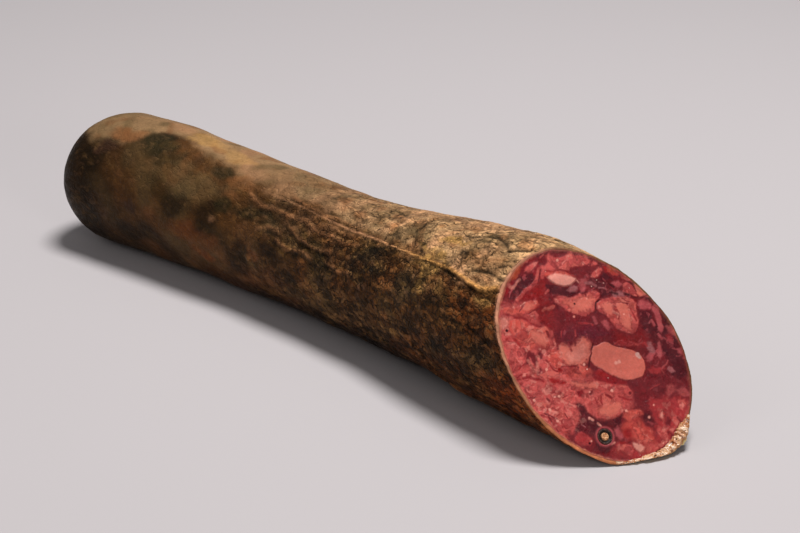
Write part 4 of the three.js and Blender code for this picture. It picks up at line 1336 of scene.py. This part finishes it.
def node_group(name, inputs, outputs):
    """A new shader node group with its sockets, and its input and output nodes."""
    group = bpy.data.node_groups.new(name, "ShaderNodeTree")
    for label, kind, default in inputs:
        socket = group.interface.new_socket(label, in_out="INPUT", socket_type=kind)
        if default is not None:
            socket.default_value = default
    for label, kind in outputs:
        group.interface.new_socket(label, in_out="OUTPUT", socket_type=kind)
    return group, group.nodes.new("NodeGroupInput"), group.nodes.new("NodeGroupOutput")


class Wiring:
    """Short ways to add and join nodes in one tree."""

    def __init__(self, tree):
        self.tree = tree

    def add(self, kind, settings=None, **inputs):
        """A new node of a kind, with its own settings and its sockets filled."""
        node = self.tree.nodes.new(kind)
        for key, value in (settings or {}).items():
            setattr(node, key, value)
        self.fill(node, **inputs)
        return node

    def fill(self, node, **inputs):
        """Fills a node's sockets, each with a constant or with another node's output."""
        for key, value in inputs.items():
            self.put(node.inputs[key.replace("_", " ")], value)

    def put(self, socket, value):
        """Sets one socket to a constant, or joins another node's output to it."""
        if isinstance(value, bpy.types.NodeSocket):
            self.tree.links.new(value, socket)
        else:
            socket.default_value = value

    def where(self):
        """The place on the piece, in its own coordinates."""
        return self.add("ShaderNodeTexCoord").outputs["Object"]

    def attribute(self, name):
        """The colour kept under a name on the mesh."""
        return self.add("ShaderNodeAttribute", {"attribute_name": name}).outputs["Color"]

    def masks(self, name):
        """The three masks kept under a name on the mesh."""
        parts = self.add("ShaderNodeSeparateColor", Color=self.attribute(name))
        return [parts.outputs[i] for i in range(3)]

    def noise(self, where, scale, detail=4.0, roughness=0.55, distortion=0.0):
        """Noise from 0 to 1; its scale is in bumps to the metre."""
        node = self.add("ShaderNodeTexNoise", Vector=where, Scale=scale, Detail=detail)
        self.fill(node, Roughness=roughness, Distortion=distortion)
        return node.outputs["Fac"]

    def math(self, operation, first, second=0.0, third=None):
        """A sum on two or three values."""
        node = self.add("ShaderNodeMath", {"operation": operation})
        self.put(node.inputs[0], first)
        self.put(node.inputs[1], second)
        if third is not None:
            self.put(node.inputs[2], third)
        return node.outputs[0]

    def times(self, first, second):
        """Two values multiplied."""
        return self.math("MULTIPLY", first, second)

    def plus(self, first, second):
        """Two values added."""
        return self.math("ADD", first, second)

    def vectors(self, operation, first, second):
        """A sum on two vectors."""
        node = self.add("ShaderNodeVectorMath", {"operation": operation})
        self.put(node.inputs[0], first)
        self.put(node.inputs[1], second)
        return node.outputs["Vector"]

    def ramp(self, value, low, high, to_low=0.0, to_high=1.0):
        """A soft step of a value between low and high."""
        node = self.add("ShaderNodeMapRange", {"interpolation_type": "SMOOTHSTEP"})
        self.fill(node, From_Min=low, From_Max=high, To_Min=to_low, To_Max=to_high, Value=value)
        return node.outputs["Result"]

    def mix(self, cover, below, above, how="MIX"):
        """One colour laid over another."""
        node = self.add("ShaderNodeMix", {"data_type": "RGBA", "blend_type": how})
        for index, value in ((0, cover), (6, below), (7, above)):
            if index and not isinstance(value, bpy.types.NodeSocket):
                value = (*value, 1)
            self.put(node.inputs[index], value)
        return node.outputs[2]

    def darken(self, colour, value):
        """A colour multiplied by a grey value."""
        grey = self.add("ShaderNodeCombineColor", Red=value, Green=value, Blue=value).outputs[0]
        return self.mix(1.0, colour, grey, "MULTIPLY")

    def bump(self, shader, strength, distance, height):
        """Fine relief, as a bump in metres, for a shader."""
        node = self.add("ShaderNodeBump", Strength=strength, Distance=distance, Height=height)
        self.put(shader.inputs["Normal"], node.outputs["Normal"])


def crackle_group():
    """Small pads of skin between fine dark cracks: masks of both, and a height for bump."""
    kind = "NodeSocketFloat"
    group, given, result = node_group(
        "Skin crackle",
        [("Vector", "NodeSocketVector", None), ("Scale", kind, 300.0), ("Width", kind, 0.06)],
        [("Cracks", kind), ("Pads", kind), ("Height", kind)],
    )
    vector, scale, width = (given.outputs[label] for label in ("Vector", "Scale", "Width"))
    w = Wiring(group)
    bend = w.add("ShaderNodeTexNoise", Vector=vector, Scale=340.0, Detail=4.0).outputs["Color"]
    amount = w.add("ShaderNodeVectorMath", {"operation": "SCALE"}, Vector=bend, Scale=0.0042)
    moved = w.vectors("ADD", vector, amount.outputs["Vector"])
    where = w.vectors("MULTIPLY", moved, (0.7, 1, 1))
    border = w.add("ShaderNodeTexVoronoi", {"feature": "DISTANCE_TO_EDGE"}, Vector=where, Scale=scale)
    pad = w.add("ShaderNodeTexVoronoi", Vector=where, Scale=scale)
    tone = w.add("ShaderNodeSeparateColor", Color=pad.outputs["Color"]).outputs[0]
    edge = w.ramp(border.outputs["Distance"], 0.0, width, 1.0, 0.0)
    cracks = w.times(edge, w.ramp(w.noise(vector, 420.0, 3.0), 0.4, 0.58))
    grit = w.noise(moved, 1500.0, 3.0, 0.6)
    round_pad = w.ramp(border.outputs["Distance"], 0.0, 0.3)
    height = w.plus(w.math("MULTIPLY_ADD", cracks, -0.6, grit), w.times(round_pad, 0.6))
    w.fill(result, Cracks=cracks, Pads=tone, Height=height)
    return group


def new_material(name):
    """A new material, with its wiring and its shader."""
    material = bpy.data.materials.new(name)
    material.use_nodes = True
    tree = material.node_tree
    shader = tree.nodes["Principled BSDF"]
    return material, Wiring(tree), shader


def skin_material(crackle):
    """Dried natural skin: its painted browns broken by fine grain, with painted shade in its creases and
    cracks, painted highlights on its small pads, and a waxy gleam.
    """
    material, w, shader = new_material("dried_skin")
    where = w.where()
    tint = w.attribute("tint")
    crack, crisp, rim = w.masks("form")
    top = w.masks("extra")[0]
    medium = w.noise(where, 420.0, 5.0, 0.65, 0.5)
    fine = w.noise(where, 1300.0, 4.0, 0.62)
    small = w.add("ShaderNodeGroup", {"node_tree": crackle}, Vector=where, Scale=560.0, Width=0.13).outputs
    large = w.add("ShaderNodeGroup", {"node_tree": crackle}, Vector=where, Scale=230.0, Width=0.05).outputs
    soft = w.math("MULTIPLY_ADD", crisp, 0.8, 0.2)
    side = w.times(soft, w.ramp(top, 0.2, 0.8, 1.0, 0.5))
    speckle = w.times(w.ramp(fine, 0.36, 0.66, 0.78, 1.2), w.ramp(medium, 0.3, 0.7, 0.76, 1.22))
    tint = w.mix(soft, tint, w.darken(tint, speckle))
    tint = w.mix(side, tint, w.darken(tint, w.ramp(small["Pads"], 0.1, 0.9, 0.5, 1.45)))
    # Painted highlights: the tops of the small pads, mostly on the skin's sides, are painted light tan.
    pad_highlight = w.times(w.ramp(small["Pads"], 0.7, 0.95), w.ramp(medium, 0.46, 0.6))
    tint = w.mix(w.times(w.times(pad_highlight, side), 0.6), tint, srgb(148, 110, 70))
    # Painted shade: the fine and the larger cracks between the pads are painted near black.
    tint = w.mix(w.times(small["Cracks"], w.times(side, 0.9)), tint, srgb(17, 12, 8))
    tint = w.mix(w.times(large["Cracks"], w.times(soft, 0.8)), tint, srgb(17, 11, 7))
    # Painted shade: the deep cracks and the grooves under the seams are painted near black.
    tint = w.mix(w.times(crack, 0.88), tint, srgb(15, 10, 7))
    w.fill(
        shader, Base_Color=tint, Roughness=w.ramp(medium, 0.3, 0.7, 0.4, 0.66),
        Specular_IOR_Level=0.12, Specular_Tint=(1, 0.84, 0.62, 1),
    )
    relief = w.plus(w.times(small["Height"], w.ramp(top, 0.2, 0.8, 0.8, 0.4)), medium)
    relief = w.plus(relief, w.times(large["Height"], 0.6))
    relief = w.times(relief, w.math("SUBTRACT", soft, w.times(rim, 0.2)))
    w.bump(shader, 1.0, 0.0006, relief)
    return material


def meat_material(settings):
    """Moist cured meat, with its painted lumps broken up by fine fibres, and scattered wet glints that are
    painted in as highlights.
    """
    material, w, shader = new_material("cured_meat")
    where = w.where()
    tone = w.attribute("tone")
    fat = w.masks("fat")[0]
    fibre = w.noise(where, 800.0, 5.0, 0.62, 1.4)
    cloud = w.noise(where, 260.0, 4.0, 0.55, 0.6)
    wide = w.math("MULTIPLY_ADD", w.math("SUBTRACT", fibre, 0.5), w.ramp(fat, 0.3, 0.95, 1.25, 0.5), 1.0)
    shade = w.darken(tone, wide)
    veined = w.times(w.ramp(cloud, 0.55, 0.7), w.ramp(fat, 0.5, 0.95, 0.26, 0.1))
    shade = w.mix(veined, shade, settings.lean)
    glint_cells = w.add("ShaderNodeTexVoronoi", Vector=where, Scale=640.0)
    chosen = w.add("ShaderNodeSeparateColor", Color=glint_cells.outputs["Color"])
    ragged = w.math("SUBTRACT", w.noise(where, 2600.0, 2.0), 0.5)
    close = w.math("MULTIPLY_ADD", ragged, 0.5, glint_cells.outputs["Distance"])
    glint = w.times(w.ramp(close, 0.13, 0.06), w.ramp(chosen.outputs[0], 0.955, 0.965))
    # Painted highlights: the glints are painted near white into the colour, as well as given a glossier coat.
    shade = w.mix(w.times(glint, 0.7), shade, srgb(250, 206, 192))
    w.fill(
        shader, Base_Color=shade, Roughness=w.ramp(cloud, 0.35, 0.65, 0.26, 0.42),
        Specular_IOR_Level=0.17, Coat_Weight=w.math("MULTIPLY_ADD", glint, 0.5, 0.04), Coat_Roughness=0.12,
        Subsurface_Weight=0.15, Subsurface_Radius=(1.0, 0.28, 0.2), Subsurface_Scale=0.0007,
    )
    grit = w.noise(where, 1500.0, 4.0, 0.65)
    relief = w.plus(w.times(fibre, 0.8), w.times(grit, 0.5))
    w.bump(shader, 0.6, 0.0003, w.plus(relief, w.times(glint, 0.8)))
    return material


def build_peppercorn():
    """The halved peppercorn: a husk with a groove round its pale crumbly core."""
    outline = [
        (math.sin(t) * PEPPERCORN_RADIUS, 0, -math.cos(t) * PEPPERCORN_RADIUS * PEPPERCORN_DEPTH)
        for t in np.linspace(0, np.pi / 2, 12)
    ]
    outline += [(away, 0, height) for away, height in PEPPERCORN_PROFILE]
    bm = spun(outline, (0, 0, 1), PEPPERCORN_STEPS)
    bmesh.ops.subdivide_edges(bm, edges=bm.edges, cuts=1, use_grid_fill=True, smooth=0)
    local = np.array([v.co for v in bm.verts])
    away = np.hypot(local[:, 0], local[:, 1])
    upper = local[:, 2] > -0.5
    rough = 0.09 * grain(local, 0.5, 61) + 0.05 * grain(local, 0.22, 62)
    radial = 1 + 0.05 * grain(local, 1.3, 63)
    core = smooth(1.35, 1.15, away) * upper
    out = local[:, 2] + rough * np.where(upper, 1, 0.2) - MEAT_RECESS
    u, v = local[:, 0] * radial + PEPPERCORN_AT[0], local[:, 1] * radial + PEPPERCORN_AT[1]
    mesh = mesh_from("peppercorn_half", bm, from_cut(u, v, out))
    lip = smooth(1.9, 2.15, away)
    write_mask(mesh, "parts", [core, lip, lip])
    return mesh


def peppercorn_material():
    """Black pepper: a dark husk with a rubbed lip, and a pale grainy heart."""
    material, w, shader = new_material("cut_peppercorn")
    grains = w.noise(w.where(), 2600.0, 3.0, 0.6)
    core, lip, _ = w.masks("parts")
    husk = w.mix(w.ramp(grains, 0.45, 0.7), srgb(13, 8, 7), srgb(62, 42, 34))
    husk = w.mix(w.times(lip, w.ramp(grains, 0.4, 0.6, 0.1, 0.7)), husk, srgb(104, 70, 62))
    heart = w.mix(w.ramp(grains, 0.4, 0.6), srgb(150, 84, 48), srgb(222, 170, 126))
    w.fill(shader, Base_Color=w.mix(core, husk, heart), Roughness=0.5, Specular_IOR_Level=0.2)
    w.bump(shader, 0.6, 0.0002, grains)
    return material


# Across the torn strip, from the meat outwards: share of the way, how far outside the skin and off the cut.
FRAY_ACROSS = (0.0, 0.1, 0.28, 0.5, 0.68, 0.8, 0.88, 1.0)
FRAY_GROW = (-3.4, -3.1, -2.2, -0.9, 0.4, 1.1, 1.3, 1.0)
FRAY_OUT = (-0.6, 0.35, 1.0, 1.5, 1.6, 1.2, 0.6, -0.3)
# Where a thin film stands out past the strip: angle, how wide the stretch is, and how far it stands out.
FILMS = ((269, 10, 2.0), (238, 5, 1.5), (251, 4, 0.9))


def fray_profile(across, heights):
    """The height and slope of one of the strip's profiles, at each share of the way across it."""
    before, height, after = (np.interp(across + step, FRAY_ACROSS, heights) for step in (-0.02, 0, 0.02))
    return height, after - before


def build_fray():
    """The torn strip of skin that stands out, crumpled, under the right of the cut, with its thin films."""
    bm = bmesh.new()
    bmesh.ops.create_grid(bm, x_segments=FRAY_FACES[0], y_segments=FRAY_FACES[1], size=1)
    bmesh.ops.solidify(bm, geom=list(bm.faces), thickness=0.2)
    flat = np.array([v.co for v in bm.verts])
    along, across = (flat[:, 0] + 1) / 2, (flat[:, 1] + 1) / 2
    under = np.abs(flat[:, 2]) > 0.1
    degrees = FRAY_FROM + (FRAY_TO - FRAY_FROM) * along
    angle = np.radians(degrees)
    key = np.stack([along * FRAY_LENGTH, across * FRAY_WIDTH, np.full(len(flat), 3.3)], 1)
    line = key * [1, 0, 1]
    full = smooth(0, 0.16, along) * smooth(1, 0.66, along)
    torn = np.clip(full * (1 + 0.3 * grain(line, 3.1, 71) + 0.25 * grain(line, 1.1, 72)), 0, 1.25)
    crumple = 0.55 * grain(key, 2.1, 73) + 0.34 * (0.35 - np.abs(grain(key, 1.1, 74))) * 2
    crumple += 0.1 * grain(key, 0.55, 75)
    shoulder = np.sin(np.pi * across)
    film = sum(far * bell(degrees - at, wide) for at, wide, far in FILMS)
    film = film * (1 + 0.35 * grain(line, 1.5, 77)) * smooth(0.74, 1.0, across)
    grow_at, slope_grow = fray_profile(across, FRAY_GROW)
    rise_at, slope_rise = fray_profile(across, FRAY_OUT)
    grow = -0.5 + (grow_at + 0.5) * (0.3 + 0.7 * torn) + film
    rise = 0.15 + rise_at * (0.2 + 0.8 * torn)
    rise += crumple * (0.25 + 0.75 * full) * (0.25 + 0.75 * shoulder)
    grow += 0.35 * grain(key, 1.4, 76) * (0.2 + 0.8 * across) * full
    steep = np.hypot(slope_grow, slope_rise) + 1e-6
    thick = FRAY_THICKNESS * under * (1 - 0.6 * smooth(0.8, 1, across))
    grow, rise = grow + thick * slope_rise / steep, rise - thick * slope_grow / steep
    points = skin_points(cut_reach(angle), angle, grow)
    points += np.outer(rise - to_cut(points)[2], CUT_OUT)
    points[:, 2] = np.maximum(points[:, 2], np.where(under, FRAY_LOWEST[1], FRAY_LOWEST[0]))
    mesh = mesh_from("frayed_skin", bm, points)
    # The crumple mask also places the strip's painted highlights and painted shade.
    write_mask(mesh, "parts", [np.clip(0.5 + 1.2 * crumple, 0, 1), across, np.clip(film * 0.8, 0, 1)])
    return mesh


def fray_material():
    """Torn skin: cream and peach and wet, with painted highlights on its bumps and painted shade in its pits,
    yellow where it is thin.
    """
    material, w, shader = new_material("frayed_skin")
    where = w.where()
    crumple, across, film = w.masks("parts")
    patchy = w.noise(where, 480.0, 3.0, 0.55, 0.8)
    fine = w.noise(where, 1700.0, 3.0)
    band = w.times(w.ramp(across, 0.62, 0.78), w.ramp(across, 1.0, 0.86))
    tint = w.mix(w.ramp(patchy, 0.4, 0.62), srgb(172, 104, 60), srgb(214, 166, 124))
    # Painted highlights on the tops of the crumples, and painted shade in their pits.
    tint = w.mix(w.ramp(crumple, 0.66, 0.9, 0, 0.8), tint, srgb(240, 214, 188))
    tint = w.mix(w.ramp(crumple, 0.46, 0.2), tint, srgb(104, 56, 26))
    tint = w.mix(w.ramp(fine, 0.6, 0.75, 0, 0.3), tint, srgb(140, 80, 40))
    tint = w.mix(band, tint, srgb(176, 116, 50))
    tint = w.mix(w.ramp(film, 0.15, 0.6), tint, srgb(216, 188, 112))
    w.fill(
        shader, Base_Color=tint, Roughness=0.25, Coat_Weight=0.5, Coat_Roughness=0.08,
        Subsurface_Weight=0.2, Subsurface_Radius=(1.0, 0.7, 0.4), Subsurface_Scale=0.0006,
    )
    w.bump(shader, 0.6, 0.0003, patchy)
    return material


# The operators.


class SAUSAGE_OT_skin(bpy.types.Operator):
    """Build the dried skin with its seams, creases and cut rim"""

    bl_idname = "sausage.skin"
    bl_label = "Skin"

    def execute(self, context):
        settings = context.scene.sausage_skin
        material = skin_material(crackle_group())
        finish_piece("skin", build_skin(settings), material, "sausage")
        return {"FINISHED"}


class SAUSAGE_OT_meat(bpy.types.Operator):
    """Build the cut face of the meat"""

    bl_idname = "sausage.meat"
    bl_label = "Meat"

    def execute(self, context):
        settings = context.scene.sausage_meat
        mesh = build_meat(settings, context.scene.sausage_skin)
        finish_piece("meat", mesh, meat_material(settings), None)
        return {"FINISHED"}


class SAUSAGE_OT_peppercorn(bpy.types.Operator):
    """Build the halved peppercorn in the cut"""

    bl_idname = "sausage.peppercorn"
    bl_label = "Peppercorn"

    def execute(self, context):
        finish_piece("peppercorn_half", build_peppercorn(), peppercorn_material(), "peppercorn")
        return {"FINISHED"}


class SAUSAGE_OT_fray(bpy.types.Operator):
    """Build the torn strip of skin under the cut"""

    bl_idname = "sausage.fray"
    bl_label = "Frayed skin"

    def execute(self, context):
        finish_piece("frayed_skin", build_fray(), fray_material(), None)
        return {"FINISHED"}


def area_light(name, at, aim, size, power, tint):
    """A round soft light at a place, turned to its aim."""
    data = bpy.data.lights.new(name, "AREA")
    data.shape = "DISK"
    data.size = size
    data.energy = power
    data.color = tint
    light = bpy.data.objects.new(name, data)
    light.location = at
    light.rotation_euler = (Vector(aim) - Vector(at)).to_track_quat("-Z", "Y").to_euler()
    bpy.context.scene.collection.objects.link(light)


def pale_floor():
    """The floor under the sausage, which belongs to the stage and not to the part."""
    bm = bmesh.new()
    bmesh.ops.create_grid(bm, x_segments=1, y_segments=1, size=FLOOR_HALF)
    mesh = bpy.data.meshes.new("floor")
    bm.to_mesh(mesh)
    bm.free()
    floor = bpy.data.objects.new("floor", mesh)
    floor.location.z = -FLOOR_DROP
    bpy.context.scene.collection.objects.link(floor)
    material, w, shader = new_material("pale_floor")
    w.fill(shader, Base_Color=(*srgb(*FLOOR_SHADE), 1), Roughness=FLOOR_ROUGHNESS)
    mesh.materials.append(material)


def soft_surround(scene):
    """The faint even light from all round."""
    world = bpy.data.worlds.new("soft_surround")
    world.use_nodes = True
    background = world.node_tree.nodes["Background"]
    background.inputs["Color"].default_value = SURROUND_TINT
    background.inputs["Strength"].default_value = SURROUND_STRENGTH
    scene.world = world


def add_camera(scene):
    """The camera, placed round its aim as the photograph was taken."""
    azimuth, elevation = math.radians(CAMERA_AZIMUTH), math.radians(CAMERA_ELEVATION)
    back = Vector((
        math.sin(azimuth) * math.cos(elevation),
        -math.cos(azimuth) * math.cos(elevation),
        math.sin(elevation),
    ))
    data = bpy.data.cameras.new("camera")
    data.sensor_width = CAMERA_SENSOR
    data.lens = CAMERA_LENS
    data.clip_start = CAMERA_NEAREST
    camera = bpy.data.objects.new("camera", data)
    camera.location = Vector(place(np.array([CAMERA_AIM]))[0]) + back * CAMERA_DISTANCE
    camera.rotation_euler = (-back).to_track_quat("-Z", "Y").to_euler()
    scene.collection.objects.link(camera)
    scene.camera = camera


class SAUSAGE_OT_stage(bpy.types.Operator):
    """Set up the pale floor, the soft lights and the camera"""

    bl_idname = "sausage.stage"
    bl_label = "Stage"

    def execute(self, context):
        context.scene.view_settings.view_transform = "Standard"
        pale_floor()
        soft_surround(context.scene)
        for light in LIGHTS:
            area_light(*light)
        add_camera(context.scene)
        return {"FINISHED"}


class SAUSAGE_PT_panel(bpy.types.Panel):
    """The sausage's pieces, in the sidebar"""

    bl_label = "Cured sausage"
    bl_idname = "SAUSAGE_PT_panel"
    bl_space_type = "VIEW_3D"
    bl_region_type = "UI"
    bl_category = "Sausage"

    def draw(self, context):
        for operator in OPERATORS:
            self.layout.operator(operator.bl_idname)


OPERATORS = (SAUSAGE_OT_skin, SAUSAGE_OT_meat, SAUSAGE_OT_peppercorn, SAUSAGE_OT_fray, SAUSAGE_OT_stage)
CLASSES = (SausageSkinSettings, SausageMeatSettings, *OPERATORS, SAUSAGE_PT_panel)


def register():
    for cls in CLASSES:
        bpy.utils.register_class(cls)
    bpy.types.Scene.sausage_skin = PointerProperty(type=SausageSkinSettings)
    bpy.types.Scene.sausage_meat = PointerProperty(type=SausageMeatSettings)


def unregister():
    del bpy.types.Scene.sausage_meat
    del bpy.types.Scene.sausage_skin
    for cls in reversed(CLASSES):
        bpy.utils.unregister_class(cls)


def main():
    register()
    bpy.ops.sausage.skin()
    bpy.ops.sausage.meat()
    bpy.ops.sausage.peppercorn()
    bpy.ops.sausage.fray()
    bpy.ops.sausage.stage()


if __name__ == "__main__":
    main()
